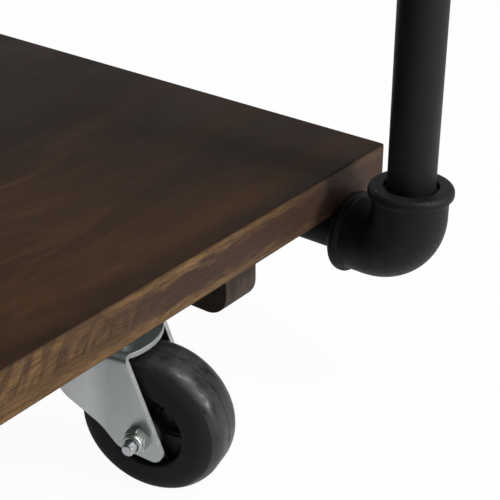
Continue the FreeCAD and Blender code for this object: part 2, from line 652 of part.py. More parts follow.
def fork(name, x, y):
    """Sheet fork: a folded channel with shaped legs, a round crown and the lower race.

    Its own origin is on the swivel axis at the axle's height, so the axle is at -trail along Y.
    """
    body = new_body(name)
    legs_end = "(toe_drop + fork_sheet)"
    channel = new_sketch(body, "XZ")
    polygon(channel, [
        (f"-{LEG_OUTSIDE}", f"-{legs_end}"), (f"-{LEG_INSIDE}", f"-{legs_end}"),
        (f"-{LEG_INSIDE}", f"{CROWN_RISE} - fork_sheet"), (LEG_INSIDE, f"{CROWN_RISE} - fork_sheet"),
        (LEG_INSIDE, f"-{legs_end}"), (LEG_OUTSIDE, f"-{legs_end}"),
        (LEG_OUTSIDE, CROWN_RISE), (f"-{LEG_OUTSIDE}", CROWN_RISE)])
    half_length = "(caster_trail + hip_reach + crown_radius)"
    extrude(body, channel, f"2 * {half_length}", symmetric=True)
    outer_bends = [edge_through(x=f"{i} * {LEG_OUTSIDE}", z=CROWN_RISE) for i in (-1, 1)]
    round_edges(body, lambda edge: any(test(edge) for test in outer_bends), "fork_bend_radius + fork_sheet")
    inner_bends = [edge_through(x=f"{i} * {LEG_INSIDE}", z=f"{CROWN_RISE} - fork_sheet") for i in (-1, 1)]
    round_edges(body, lambda edge: any(test(edge) for test in inner_bends), "fork_bend_radius")
    outline = leg_outline()
    blank = new_sketch(body, "YZ")
    margin = "(2 * fork_sheet)"
    rectangle(blank, (f"-{half_length} - {margin}", f"-{legs_end} - {margin}"),
              (f"{half_length} + {margin}", f"{CROWN_RISE} + {margin}"))
    polygon(blank, list(outline.values()))
    cut(body, blank, symmetric=True)
    for corner in ("toe", "heel", "waist", "hip"):
        spot = outline[corner]
        round_edges(body, edge_through(y=spot[0], z=spot[1]), f"{corner}_radius")
    crown = new_sketch(body, "XY", level=CROWN_RISE)
    flattened_disc(crown, "crown_radius", f"({LEG_INSIDE} - fork_bend_radius)")
    extrude(body, crown, "fork_sheet", backwards=True)
    race = new_sketch(body, "XY", level=f"{CROWN_RISE} - fork_sheet")
    circle(race, ("0", "0"), RACE_OUTER_RADIUS)
    extrude(body, race, "fork_sheet + fork_race_height")
    hollow = new_sketch(body, "XY", level=RACE_TOP)
    circle(hollow, ("0", "0"), RACE_INNER_RADIUS)
    cut(body, hollow, depth="fork_race_height")
    ball_groove(body, BALL_RISE)
    pin_hole = new_sketch(body, "XY", level=CROWN_RISE)
    circle(pin_hole, ("0", "0"), "kingpin_diameter / 2 + kingpin_clearance")
    cut(body, pin_hole, depth="2 * fork_sheet")
    axle_holes = new_sketch(body, "YZ")
    circle(axle_holes, ("-caster_trail", "0"), "axle_diameter / 2 + axle_clearance")
    cut(body, axle_holes, symmetric=True)
    place_on_swivel(body, x, y, WHEEL_RADIUS)


def wheel_section():
    """One side of the wheel's half section, from its bore out to the tread: (along the axle, radius)."""
    side = "(wheel_width / 2)"
    hub_end = f"({LEG_INSIDE} - hub_gap)"
    web = "(web_thickness / 2)"
    return [
        (hub_end, "(bushing_diameter / 2 + bushing_clearance)"),
        (hub_end, "hub_radius"),
        (web, "hub_radius"),
        (web, "recess_radius"),
        (side, "recess_radius"),
        (side, WHEEL_RADIUS),
    ]


def wheel(name, x, y):
    """Hard rubber wheel: rounded tread, dished and ribbed sides, and a hub that runs on the bushing."""
    body = new_body(name)
    section = new_sketch(body, "XZ")
    half = wheel_section()
    polygon(section, half + [(f"-{along}", radius) for along, radius in reversed(half)])
    revolve(body, section, axis="H_Axis")
    tread_edges = [edge_through(x=f"{i} * wheel_width / 2") for i in (-1, 1)]
    full = number(WHEEL_RADIUS)
    round_edges(body, lambda edge: any(test(edge) for test in tread_edges) and near(edge.Curve.Radius, full),
                "tread_rounding")
    rib = new_sketch(body, "YZ")
    middle = "((hub_radius + bushing_diameter / 2) / 2)"
    rectangle(rib, (middle, "-rib_width / 2"), ("recess_radius + rib_width / 2", "rib_width / 2"))
    first_rib = extrude(body, rib, "rib_thickness", symmetric=True)
    doc.recompute()
    ribs = body.newObject("PartDesign::PolarPattern", f"{name}_ribs")
    ribs.Originals = [first_rib]
    ribs.Axis = (section, ["H_Axis"])
    ribs.Angle = 360
    bind(ribs, "Occurrences", "rib_count")
    body.Tip = ribs
    place_on_axle(body, x, y)


def bushing(name, x, y):
    body = new_body(name)
    ring = new_sketch(body, "YZ")
    circle(ring, ("0", "0"), "bushing_diameter / 2")
    circle(ring, ("0", "0"), "axle_diameter / 2 + axle_clearance")
    extrude(body, ring, f"2 * ({LEG_INSIDE} - bushing_end_gap)", symmetric=True)
    place_on_axle(body, x, y)


def axle_bolt(name, x, y):
    """Hexagon-head bolt: its head is outside the +X leg, and its end stands past the nut on the other."""
    body = new_body(name)
    head = new_sketch(body, "YZ", level=LEG_OUTSIDE)
    hexagon(head, "axle_hex", "axle_hex_turn")
    extrude(body, head, "axle_head_height")
    shank = new_sketch(body, "YZ", level=LEG_OUTSIDE)
    circle(shank, ("0", "0"), "axle_diameter / 2")
    end = f"({LEG_OUTSIDE} + axle_nut_height + nut_collar_height + axle_tip_length)"
    extrude(body, shank, f"{LEG_OUTSIDE} + {end}", backwards=True)
    doc.recompute()
    base = body.Tip
    at_end = edge_through(x=f"-{end}")
    names = [f"Edge{i}" for i, edge in enumerate(base.Shape.Edges, start=1) if at_end(edge)]
    chamfer = body.newObject("PartDesign::Chamfer", f"{name}_chamfer")
    chamfer.Base = (base, names)
    bind(chamfer, "Size", "axle_tip_chamfer")
    place_on_axle(body, x, y)


def axle_nut(name, x, y):
    """Locking nut against the -X leg, with its collar outwards."""
    body = new_body(name)
    flats = new_sketch(body, "YZ", level=f"-{LEG_OUTSIDE}")
    hexagon(flats, "axle_hex", "axle_hex_turn")
    extrude(body, flats, "axle_nut_height", backwards=True)
    collar = new_sketch(body, "YZ", level=f"-{LEG_OUTSIDE}")
    circle(collar, ("0", "0"), "nut_collar_diameter / 2")
    extrude(body, collar, "axle_nut_height + nut_collar_height", backwards=True)
    bore = new_sketch(body, "YZ")
    circle(bore, ("0", "0"), "axle_diameter / 2 + axle_clearance")
    cut(body, bore, symmetric=True)
    place_on_axle(body, x, y)


# ---------------------------------------------------------------------------------------------------------
# The cart
# ---------------------------------------------------------------------------------------------------------
shelf("lower_shelf", LOWER_UNDERSIDE, has_casters=True)
shelf("upper_shelf", UPPER_UNDERSIDE, has_casters=False)

for end_name, end_sign in ENDS.items():
    batten(f"lower_batten_{end_name}", end_sign, LOWER_UNDERSIDE)
    batten(f"upper_batten_{end_name}", end_sign, UPPER_UNDERSIDE)
    cross_tube(f"lower_crossbar_{end_name}", end_sign, LOWER_BAR_Z, screwed=True)
    cross_tube(f"upper_crossbar_{end_name}", end_sign, UPPER_BAR_Z, screwed=True)
    cross_tube(f"handle_bar_{end_name}", end_sign, HANDLE_Z, screwed=False)

for corner_name, (x_sign, y_sign) in CORNERS.items():
    elbow(f"lower_elbow_{corner_name}", x_sign, y_sign, LOWER_BAR_Z)
    post(f"lower_post_{corner_name}", x_sign, y_sign, LOWER_BAR_Z, UPPER_BAR_Z)
    tee(f"tee_{corner_name}", x_sign, y_sign, UPPER_BAR_Z)
    post(f"upper_post_{corner_name}", x_sign, y_sign, UPPER_BAR_Z, HANDLE_Z)
    elbow(f"top_elbow_{corner_name}", x_sign, y_sign, HANDLE_Z, upside_down=True)
    caster_plate(f"caster_plate_{corner_name}", x_sign, y_sign)
    fork(f"caster_fork_{corner_name}", x_sign, y_sign)
    wheel(f"wheel_{corner_name}", x_sign, y_sign)
    bushing(f"wheel_bushing_{corner_name}", x_sign, y_sign)
    axle_bolt(f"axle_bolt_{corner_name}", x_sign, y_sign)
    axle_nut(f"axle_nut_{corner_name}", x_sign, y_sign)

kingpins("caster_kingpins")
swivel_balls("swivel_balls")

long_screws = new_body("long_screws")
for shelf_underside in (LOWER_UNDERSIDE, UPPER_UNDERSIDE):
    screws(long_screws, batten_screw_places(), f"({shelf_underside} - batten_thickness)", LONG_SCREW)
    screws(long_screws, crossbar_screw_places(), f"({shelf_underside} - tube_diameter)", LONG_SCREW)

caster_screws = new_body("caster_screws")
screws(caster_screws, caster_screw_places(), f"({CASTER_HEIGHT} - plate_thickness)",
       "plate_thickness + caster_screw_bite")

doc.recompute()

# ---------------------------------------------------------------------------------------------------------
# Checks and files
# ---------------------------------------------------------------------------------------------------------
for thing in doc.Objects:
    if "Invalid" in thing.State or "Error" in thing.State:
        raise RuntimeError(f"{thing.Name} failed: {thing.State}")
for piece in PIECES:
    if piece.Shape.isNull() or not piece.Shape.isValid():
        raise RuntimeError(f"{piece.Label} has no valid shape")

os.makedirs("parts", exist_ok=True)
for piece in PIECES:
    piece.Shape.exportStep(f"parts/{piece.Label}.step")
print(f"{len(PIECES)} nodes, {sum(len(piece.Shape.Solids) for piece in PIECES)} solids")
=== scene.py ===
"""Bar cart on wheels: the finish and fine detail of every piece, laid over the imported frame.

Everything is in metres in the frame's own axes: +X along the shelves, -Y the front, +Z up.
"""
import json
import math

import bmesh
import bpy
from bpy.props import FloatProperty, FloatVectorProperty, IntProperty, PointerProperty
from mathutils import Matrix, Vector


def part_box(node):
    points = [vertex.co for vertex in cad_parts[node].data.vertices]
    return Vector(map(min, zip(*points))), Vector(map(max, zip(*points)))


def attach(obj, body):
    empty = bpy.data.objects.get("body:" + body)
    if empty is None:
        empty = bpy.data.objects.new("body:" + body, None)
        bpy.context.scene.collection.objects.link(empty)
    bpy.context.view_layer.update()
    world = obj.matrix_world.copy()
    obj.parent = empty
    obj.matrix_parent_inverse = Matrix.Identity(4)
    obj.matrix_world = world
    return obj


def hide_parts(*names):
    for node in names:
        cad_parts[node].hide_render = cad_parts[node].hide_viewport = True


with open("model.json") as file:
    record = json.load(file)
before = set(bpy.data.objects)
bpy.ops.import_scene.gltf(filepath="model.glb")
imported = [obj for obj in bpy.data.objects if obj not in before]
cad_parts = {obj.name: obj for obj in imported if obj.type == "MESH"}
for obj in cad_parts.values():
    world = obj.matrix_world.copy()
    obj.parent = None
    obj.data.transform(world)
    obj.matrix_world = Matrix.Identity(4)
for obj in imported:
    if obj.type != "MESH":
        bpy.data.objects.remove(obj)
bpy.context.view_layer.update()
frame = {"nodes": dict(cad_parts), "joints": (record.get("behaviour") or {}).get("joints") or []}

bl_info = {
    "name": "Bar Cart",
    "version": (1, 0, 0),
    "blender": (4, 5, 0),
    "location": "View3D > Sidebar > Bar Cart",
    "description": "Builds the surfaces of a wooden bar cart with a black pipe frame and swivel casters",
    "category": "Object",
}

MM = 0.001
RGBA = {"data_type": "RGBA", "out": 2}  # what makes a Mix node blend two colours
ENDS = {"left": -1, "right": 1}
SIDES = {"front": -1, "rear": 1}
CORNERS = {f"{side}_{end}": (x, y) for side, y in SIDES.items() for end, x in ENDS.items()}
TIERS = ("lower", "upper")
RING = 96  # points round a tube or a fitting
LIMB_STEPS, BEND_STEPS, TEE_STEPS = 8, 28, 16  # rings up an elbow's limb, round its bend, and up a tee's limb

BATTEN_NOSE = 13.3 * MM
BATTEN_EASE = 0.5 * MM
TUBE_WALL = 2 * MM
TUBE_EASE = 0.3 * MM

# the casters: the axle, the fork's sheet with its crown and hole, and the axle's nut and bolt
SHANK_RADIUS = 3.175 * MM
SHANK_HOLE = SHANK_RADIUS + 0.08 * MM
PIN_HOLE = 5.08 * MM
CROWN_RISE = 44.15 * MM
CROWN_RADIUS = 30.2 * MM
BEND_RADIUS = 2 * MM
ACROSS, CUT_STEPS = 20, 6  # faces over the sheet's width, and over a cut edge
LEG_STEPS, FOLD_STEPS, CROWN_STEPS = 56, 8, 10  # stations up a leg, round its fold, and over half the crown
NUT_HEIGHT = 4.8 * MM
COLLAR_TOP = NUT_HEIGHT + 2.4 * MM
COLLAR_RADIUS = 5.3 * MM
BOLT_TIP = COLLAR_TOP + 4.6 * MM
HEAD_HEIGHT = 4.4 * MM
HEX_RING = 120
HEX_TURN = math.radians(37)
THREAD_STEPS = 10  # rings for each turn of the bolt's thread


# --- Colours and nodes ---
def linear(colour):
    """The linear numbers of an sRGB colour written as #rrggbb."""
    channels = [int(colour[i:i + 2], 16) / 255 for i in (1, 3, 5)]
    return tuple(c / 12.92 if c <= 0.04045 else ((c + 0.055) / 1.055) ** 2.4 for c in channels) + (1.0,)


def colour_setting(name, description, default):
    """A colour, its default written as #rrggbb."""
    return FloatVectorProperty(name=name, description=description, subtype="COLOR", size=4, min=0, max=1,
                               default=linear(default))


def length_setting(name, description, default, least):
    """A length, its default and least value in metres."""
    return FloatProperty(name=name, description=description, subtype="DISTANCE", unit="LENGTH",
                         default=default, min=least)


def share_setting(name, description, default):
    """A share from 0 to 1."""
    return FloatProperty(name=name, description=description, subtype="FACTOR", default=default, min=0, max=1)


def power_setting(name, description, default):
    """A lamp's power in watts."""
    return FloatProperty(name=name, description=description, subtype="POWER", unit="POWER", default=default,
                         min=0)


def add(tree, kind, *inputs, out=0, **settings):
    """Adds a node with its settings and links, and gives one of its outputs, or all of them with None.

    The inputs follow the node's sockets, after its operation if it has one, or come in a dict by socket. Each
    is a value or another node's output.
    """
    node = tree.nodes.new("ShaderNode" + kind)
    if inputs and isinstance(inputs[0], str):
        node.operation, *inputs = inputs
    for name, value in settings.items():
        setattr(node, name, value)
    by_socket = inputs[0] if inputs and isinstance(inputs[0], dict) else dict(enumerate(inputs))
    for socket, value in by_socket.items():
        if isinstance(value, bpy.types.NodeSocket):
            tree.links.new(value, node.inputs[socket])
        else:
            node.inputs[socket].default_value = value
    return node.outputs if out is None else node.outputs[out]


def new_tree(owner):
    """The emptied node tree of a material or a world."""
    owner.use_nodes = True
    owner.node_tree.nodes.clear()
    return owner.node_tree


def new_material(name):
    """A material, its tree, and the place of a point in the piece's own axes."""
    material = bpy.data.materials.new(name)
    tree = new_tree(material)
    return material, tree, add(tree, "TexCoord", out="Object")


def blend(tree, pattern, low, high, first, second, most=1.0):
    """The first colour where a pattern is low, and up to a share the second where it is high."""
    share = add(tree, "MapRange", pattern, low, high, 0.0, most)
    return add(tree, "Mix", {0: share, 6: first, 7: second}, **RGBA)


def end_material(material, colour, rough, sockets, relief=None, strength=0.0, depth=0.0):
    """Ends a material with its principled shader, which a relief of some depth may bump."""
    tree = material.node_tree
    sockets.update({"Base Color": colour, "Roughness": rough})
    if relief is not None:
        sockets["Normal"] = add(tree, "Bump", {"Strength": strength, "Distance": depth, "Height": relief})
    shader = add(tree, "BsdfPrincipled", sockets)
    add(tree, "OutputMaterial", {"Surface": shader}, out=None)
    return material


def per(size):
    """A pattern's scale, from the size of its marks in millimetres."""
    return 1 / (size * MM)


# --- Outlines and meshes ---
def rounded(corners, steps=5, closed=True):
    """The outline through the corners, each (x, y, radius), with an arc of that radius at each."""
    outline = []
    last = len(corners) - 1
    for i, (x, y, radius) in enumerate(corners):
        here = Vector((x, y))
        if radius == 0 or (not closed and i in (0, last)):
            outline.append(here)
            continue
        to_before = (Vector(corners[i - 1][:2]) - here).normalized()
        to_after = (Vector(corners[(i + 1) % len(corners)][:2]) - here).normalized()
        half = to_before.angle(to_after) / 2
        centre = here + (to_before + to_after).normalized() * (radius / math.sin(half))
        arm = here + to_before * (radius / math.tan(half)) - centre
        turn = math.pi - 2 * half
        if to_before.x * to_after.y - to_before.y * to_after.x > 0:
            turn = -turn
        for k in range(steps + 1):
            angle = turn * k / steps
            outline.append(centre + Vector((arm.x * math.cos(angle) - arm.y * math.sin(angle),
                                            arm.x * math.sin(angle) + arm.y * math.cos(angle))))
    return outline


def skin(bm, rows, wrap_rows=False, capped=False, material=0):
    """Faces between rows of points that close on themselves. The end rows may join up, or be capped."""
    made = [[bm.verts.new(point) for point in row] for row in rows]
    faces = []
    for lower, upper in zip(made, made[1:] + (made[:1] if wrap_rows else [])):
        for j in range(len(lower)):
            k = (j + 1) % len(lower)
            faces.append(bm.faces.new((lower[j], lower[k], upper[k], upper[j])))
    if capped:
        faces += [bm.faces.new(made[0]), bm.faces.new(made[-1])]
    for face in faces:
        face.material_index = material
    return faces


def soften(bm, verts, rounds):
    """Evens out some points of a mesh, a few rounds over."""
    for _ in range(rounds):
        bmesh.ops.smooth_vert(bm, verts=verts, factor=0.5, use_axis_x=True, use_axis_y=True, use_axis_z=True)


def polar(radius, angle, height):
    """A point at a radius and an angle about Z."""
    return Vector((radius * math.cos(angle), radius * math.sin(angle), height))


def turns(count=RING, first=0.0):
    """Even angles once round."""
    return [2 * math.pi * k / count + first for k in range(count)]


def quarter(steps):
    """Even angles from 0 to a right angle."""
    return [math.pi / 2 * k / steps for k in range(steps + 1)]


def ring_rows(profile, segments=RING, first=0.0):
    """Rings about Z, one for each (radius, height) of the profile."""
    return [[polar(radius, angle, height) for angle in turns(segments, first)] for radius, height in profile]


def to_mesh(bm, name, materials, crease=40):
    """The finished mesh: joined, faced outwards, and smooth but for edges sharper than the crease angle."""
    bmesh.ops.remove_doubles(bm, verts=bm.verts, dist=1e-6)
    bmesh.ops.recalc_face_normals(bm, faces=bm.faces)
    mesh = bpy.data.meshes.new(name)
    bm.to_mesh(mesh)
    bm.free()
    mesh.shade_smooth()
    mesh.set_sharp_from_angle(angle=math.radians(crease))
    for material in materials:
        mesh.materials.append(material)
    return mesh


def show(name, data):
    """An object in the scene."""
    thing = bpy.data.objects.new(name, data)
    bpy.context.scene.collection.objects.link(thing)
    return thing


def put(name, mesh, body, replaced, place=None):
    """Shows a mesh as a piece that rides on a body and stands for a CAD node."""
    piece = show(name, mesh)
    piece.matrix_world = place or Matrix()
    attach(piece, body)
    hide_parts(replaced)


def dress(node, material, crease=30):
    """Gives a CAD node its material and smooth shading between its creases."""
    shown = frame["nodes"][node]
    shown.data.materials.clear()
    shown.data.materials.append(material)
    shown.data.shade_smooth()
    shown.data.set_sharp_from_angle(angle=math.radians(crease))


def middle(node):
    """The middle of a CAD node's box."""
    low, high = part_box(node)
    return (low + high) / 2


def span(node):
    """The size of a CAD node's box along X, Y and Z."""
    low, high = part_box(node)
    return high - low


# --- Wood ---
class WoodSettings(bpy.types.PropertyGroup):
    heart: colour_setting("Heartwood", "Dark stained face grain", "#251a14")
    streak: colour_setting("Streak", "Lighter streaks of the face grain", "#3d2a1e")
    fleck: colour_setting("Fleck", "Short warm flecks in the lighter streaks", "#5d4026")
    # on the rounded arrises, and in the ragged line under them, this colour is painted shade, not stain
    stain: colour_setting("Stain", "Stain gathered in pores, along the arris and beside the edge", "#1f1713")
    edge: colour_setting("Edge", "Plain stained wood along the long edges", "#41302a")
    sap: colour_setting("Sanded edge", "Pale grain where the sanding went through the stain", "#906f4a")
    batten: colour_setting("Batten", "Thinly stained battens", "#564b41")
    arris: length_setting("Arris", "Rounding of the boards' edges", 0.0012, 0.0002)


def stretched_noise(tree, place, sizes, detail=3.0, roughness=0.55, swirl=0.0):
    """Noise whose marks have a size in millimetres along each axis, such as long ones along the grain."""
    spread = add(tree, "VectorMath", "MULTIPLY", place, [per(size) for size in sizes])
    return add(tree, "TexNoise", {"Vector": spread, "Scale": 1.0, "Detail": detail, "Roughness": roughness,
                                  "Distortion": swirl}, out="Fac")


def stained_hardwood(settings, half_depth, half_thickness):
    """Solid hardwood, walnut stained, sanded and oiled to a low satin.

    It shows long soft streaks and short warm flecks along the grain. Its long edges are paler where the
    sanding went through the stain: in broken lines near both arrises, and in a cross figure between them.
    """
    material, tree, place = new_material("walnut_stained_solid_hardwood")
    parts = add(tree, "SeparateXYZ", place, out=None)

    # the grain wavers a few millimetres to the side along its length; its fibres and pores are really under
    # 0.3 mm wide, and are drawn coarser so that they show
    waver = stretched_noise(tree, place, (250, 111, 111), detail=2.0)
    sway = add(tree, "Math", "MULTIPLY_ADD", waver, 0.06, parts["Y"])
    grain = add(tree, "CombineXYZ", parts["X"], sway, parts["Z"])

    zones = stretched_noise(tree, grain, (588, 125, 125), detail=2.0)
    streaks = stretched_noise(tree, grain, (125, 25, 25), detail=5.0, roughness=0.62, swirl=0.5)
    flecks = stretched_noise(tree, grain, (58.8, 8.33, 8.33), detail=4.0, roughness=0.6)
    clouds = stretched_noise(tree, grain, (111, 45.5, 45.5), detail=4.0, roughness=0.6)
    fibres = stretched_noise(tree, grain, (38.5, 1.176, 1.176), detail=2.0, roughness=0.7)
    pores = stretched_noise(tree, grain, (16.67, 0.769, 0.769), detail=1.0)

    zone = add(tree, "MapRange", zones, 0.34, 0.66, -0.3, 0.6)
    streak = add(tree, "MapRange", streaks, 0.3, 0.72, 0.0, 0.62)
    fibre = add(tree, "MapRange", fibres, 0.3, 0.7, -0.12, 0.12)
    cloud = add(tree, "MapRange", clouds, 0.34, 0.66, -0.3, 0.3)
    tone = add(tree, "Math", "ADD", zone, streak)
    tone = add(tree, "Math", "ADD", tone, cloud)
    tone = add(tree, "Math", "ADD", tone, fibre, use_clamp=True)
    face = add(tree, "Mix", {0: tone, 6: settings.heart, 7: settings.streak}, **RGBA)
    fleck = add(tree, "MapRange", flecks, 0.46, 0.72, 0.0, 0.5)
    warm = add(tree, "MapRange", clouds, 0.44, 0.62, 0.05)
    fleck = add(tree, "Math", "MULTIPLY", fleck, warm)
    face = add(tree, "Mix", {0: fleck, 6: face, 7: settings.fleck}, **RGBA)
    outward = add(tree, "Math", "ABSOLUTE", parts["Y"])
    outward = add(tree, "Math", "MULTIPLY_ADD", zones, 0.08, outward)
    beside = add(tree, "MapRange", outward, half_depth - 0.07, half_depth + 0.03, 0.0, 0.7)
    beside = add(tree, "Math", "MULTIPLY", beside, streak)
    face = add(tree, "Mix", {0: beside, 6: face, 7: settings.fleck}, **RGBA)
    face = blend(tree, outward, half_depth + 0.028, half_depth + 0.042, face, settings.stain, 0.5)

    # fine long grain over the whole edge, and broken pale bands near both arrises
    bend = stretched_noise(tree, place, (45.5, 111, 33.3), detail=3.0)
    bent = add(tree, "Math", "MULTIPLY_ADD", bend, 0.012, parts["Z"])
    bent = add(tree, "CombineXYZ", parts["X"], parts["Y"], bent)
    lines = stretched_noise(tree, bent, (23.8, 3.333, 1.61), detail=5.0, roughness=0.78)
    line = add(tree, "MapRange", lines, 0.4, 0.6)
    depth = add(tree, "Math", "ABSOLUTE", parts["Z"])
    ragged = stretched_noise(tree, bent, (20.83, 16.67, 3.03), detail=6.0, roughness=0.8)
    edge_line = add(tree, "Math", "MULTIPLY_ADD", ragged, half_thickness * 1.7, depth)
    band = add(tree, "MapRange", edge_line, half_thickness * 1.25, half_thickness * 1.6)

    # towards the board's middle, a slanting cross figure over a broad pale band; all of it fades to the ends
    lean = add(tree, "Math", "MULTIPLY_ADD", parts["Z"], -0.6, parts["X"])
    leaning = add(tree, "CombineXYZ", lean, parts["Y"], parts["Z"])
    figure = stretched_noise(tree, leaning, (5.882, 33.3, 21.7), detail=4.0, roughness=0.6, swirl=0.8)
    flame = add(tree, "MapRange", figure, 0.41, 0.58, 0.0, 0.75)
    along = add(tree, "Math", "ABSOLUTE", parts["X"])
    drift = add(tree, "Math", "MULTIPLY_ADD", waver, 0.12, along)
    inner = add(tree, "MapRange", drift, 0.34, 0.24)
    level = add(tree, "Math", "MULTIPLY_ADD", ragged, half_thickness * 0.9, parts["Z"])
    upper = add(tree, "MapRange", level, 0.0, half_thickness * 0.3)
    upper = add(tree, "Math", "MULTIPLY", upper, inner)
    flame = add(tree, "Math", "MULTIPLY", flame, upper)
    under = add(tree, "Math", "SUBTRACT", inner, upper)
    under = add(tree, "Math", "MULTIPLY", under, 0.62)
    worn = add(tree, "MapRange", drift, 0.45, 0.36, 0.15)
    worn = add(tree, "Math", "MULTIPLY_ADD", upper, -0.85, worn)
    band = add(tree, "Math", "MULTIPLY", band, worn)
    pale = add(tree, "Math", "MAXIMUM", band, flame)
    pale = add(tree, "Math", "MAXIMUM", pale, under)
    broken = add(tree, "MapRange", line, 0.0, 1.0, 0.3)
    pale = add(tree, "Math", "MULTIPLY", pale, broken)
    ground = add(tree, "Math", "MULTIPLY", line, 0.35)
    ground = add(tree, "Math", "MULTIPLY_ADD", inner, 0.35, ground)
    ground = add(tree, "Mix", {0: ground, 6: settings.edge, 7: linear("#5a4531")}, **RGBA)
    edge = add(tree, "Mix", {0: pale, 6: ground, 7: settings.sap}, **RGBA)

    # the edge shows on the long sides; the faces are darker towards their ends
    side = add(tree, "SeparateXYZ", add(tree, "TexCoord", out="Normal"), out=None)
    facing = add(tree, "Math", "ABSOLUTE", side["Y"])
    on_edge = add(tree, "MapRange", facing, 0.62, 0.97)
    face = blend(tree, drift, 0.34, 0.48, face, linear("#19120e"), 0.6)
    colour = add(tree, "Mix", {0: on_edge, 6: face, 7: edge}, **RGBA)

    # stain gathers in the pores; the rounded arrises are darkened by painted shade, picked out by which way
    # the surface faces
    flat = add(tree, "Math", "ABSOLUTE", side["Z"])
    arris = add(tree, "Math", "MULTIPLY", flat, facing)
    pore = add(tree, "MapRange", pores, 0.64, 0.74, 0.0, 0.4)
    dark = add(tree, "Math", "MULTIPLY_ADD", arris, 0.85, pore, use_clamp=True)
    # a ragged painted shadow line along the top of the long edges, just under the arris
    painted_arris_shadow = add(tree, "Math", "MULTIPLY_ADD", ragged, 5.0 * MM, parts["Z"])
    painted_arris_shadow = add(tree, "MapRange", painted_arris_shadow, half_thickness + 0.5 * MM, half_thickness + 1.7 * MM, 0.0, 0.55)
    over = add(tree, "MapRange", facing, 0.15, 0.5)
    painted_arris_shadow = add(tree, "Math", "MULTIPLY", painted_arris_shadow, over)
    dark = add(tree, "Math", "MAXIMUM", dark, painted_arris_shadow)
    colour = add(tree, "Mix", {0: dark, 6: colour, 7: settings.stain}, **RGBA)

    rough = add(tree, "MapRange", streaks, 0.3, 0.7, 0.4, 0.52)
    relief = add(tree, "Math", "MULTIPLY_ADD", pore, -1.0, fibres)
    return end_material(material, colour, rough, {"IOR": 1.5, "Specular IOR Level": 0.07}, relief, 0.16,
                        0.4 * MM)


def board_mesh(size, arris, material):
    """A block about its own middle with its edges rounded over."""
    bm = bmesh.new()
    bmesh.ops.create_cube(bm, size=1.0)
    bmesh.ops.scale(bm, vec=size, verts=bm.verts)
    bmesh.ops.bevel(bm, geom=bm.edges, offset=arris, segments=4, profile=0.5, affect="EDGES")
    return to_mesh(bm, "shelf_board", [material], crease=60)


class CART_OT_boards(bpy.types.Operator):
    """Lays the two solid wooden shelves"""
    bl_idname = "cart.boards"
    bl_label = "Wooden shelves"

    def execute(self, context):
        settings = context.scene.cart_wood
        size = span("lower_shelf")
        mesh = board_mesh(size, settings.arris, stained_hardwood(settings, size.y / 2, size.z / 2))
        for tier in TIERS:
            node = f"{tier}_shelf"
            put(f"{tier}_board", mesh, "cart", node, Matrix.Translation(middle(node)))
        return {"FINISHED"}


def batten_wood(settings):
    """Sawn hardwood batten with a thin brown stain: greyish brown, with a soft grain and little sheen."""
    material, tree, place = new_material("thin_stained_sawn_batten")
    parts = add(tree, "SeparateXYZ", place, out=None)
    place = add(tree, "CombineXYZ", parts["Y"], parts["X"], parts["Z"])
    streaks = stretched_noise(tree, place, (167, 11.1, 11.1), detail=4.0)
    fibres = stretched_noise(tree, place, (55.6, 1.11, 1.11), detail=2.0, roughness=0.7)
    saw = stretched_noise(tree, place, (11.1, 3.85, 45.5), detail=3.0)
    tone = add(tree, "Math", "MULTIPLY_ADD", fibres, 0.4, streaks)
    tone = add(tree, "Math", "MULTIPLY_ADD", saw, 0.6, tone)
    colour = blend(tree, tone, 0.78, 1.22, linear("#3c302a"), settings.batten)
    return end_material(material, colour, 0.55, {"IOR": 1.5, "Specular IOR Level": 0.1}, fibres, 0.2,
                        0.4 * MM)


def batten_mesh(size, nose, ease, material):
    """A batten about its own middle: a side outline with a nose under either end, its sides' edges eased."""
    half_x, half_y, half_z = size / 2
    levels = [(-half_x + ease * (1 - math.sin(a)), ease * (1 - math.cos(a))) for a in reversed(quarter(4))]
    levels += [(-x, inset) for x, inset in reversed(levels)]
    rows = []
    for x, inset in levels:
        y, z = half_y - inset, half_z - inset
        ends = [(-y, -z, nose - inset), (y, -z, nose - inset), (y, z, ease), (-y, z, ease)]
        outline = rounded(ends, steps=12)
        rows.append([Vector((x, point.x, point.y)) for point in outline])
    bm = bmesh.new()
    skin(bm, rows, capped=True)
    return to_mesh(bm, "batten", [material], crease=50)


class CART_OT_battens(bpy.types.Operator):
    """Fixes the four battens under the shelves"""
    bl_idname = "cart.battens"
    bl_label = "Battens"

    def execute(self, context):
        wood = batten_wood(context.scene.cart_wood)
        mesh = batten_mesh(span("lower_batten_left"), BATTEN_NOSE, BATTEN_EASE, wood)
        for tier in TIERS:
            for end in ENDS:
                node = f"{tier}_batten_{end}"
                put(f"{node}_wood", mesh, "cart", node, Matrix.Translation(middle(node)))
        return {"FINISHED"}


# --- Tube and cast fittings ---
class FrameSettings(bpy.types.PropertyGroup):
    coat: colour_setting("Tube coat", "Matt black powder coat on the tube", "#1d1c1c")
    casting: colour_setting("Casting coat", "Matt black coat on the cast fittings", "#161413")
    bared: colour_setting("Bared metal", "Small chips and specks in both coats", "#8d8881")
    band_length: length_setting("Band length", "Length of the band round a fitting's mouth", 0.0052, 0.001)
    band_rise: length_setting("Band rise", "How far the band stands out from the fitting", 0.0025, 0.0005)
    band_rounding: length_setting("Band rounding", "Rounding of the band's mouth edge", 0.003, 0.0001)
    mouth_gap: length_setting("Mouth gap", "Width of the countersink round the tube", 0.0017, 0.0001)
    mouth_depth: length_setting("Mouth depth", "Depth of the countersink round the tube", 0.003, 0.0001)


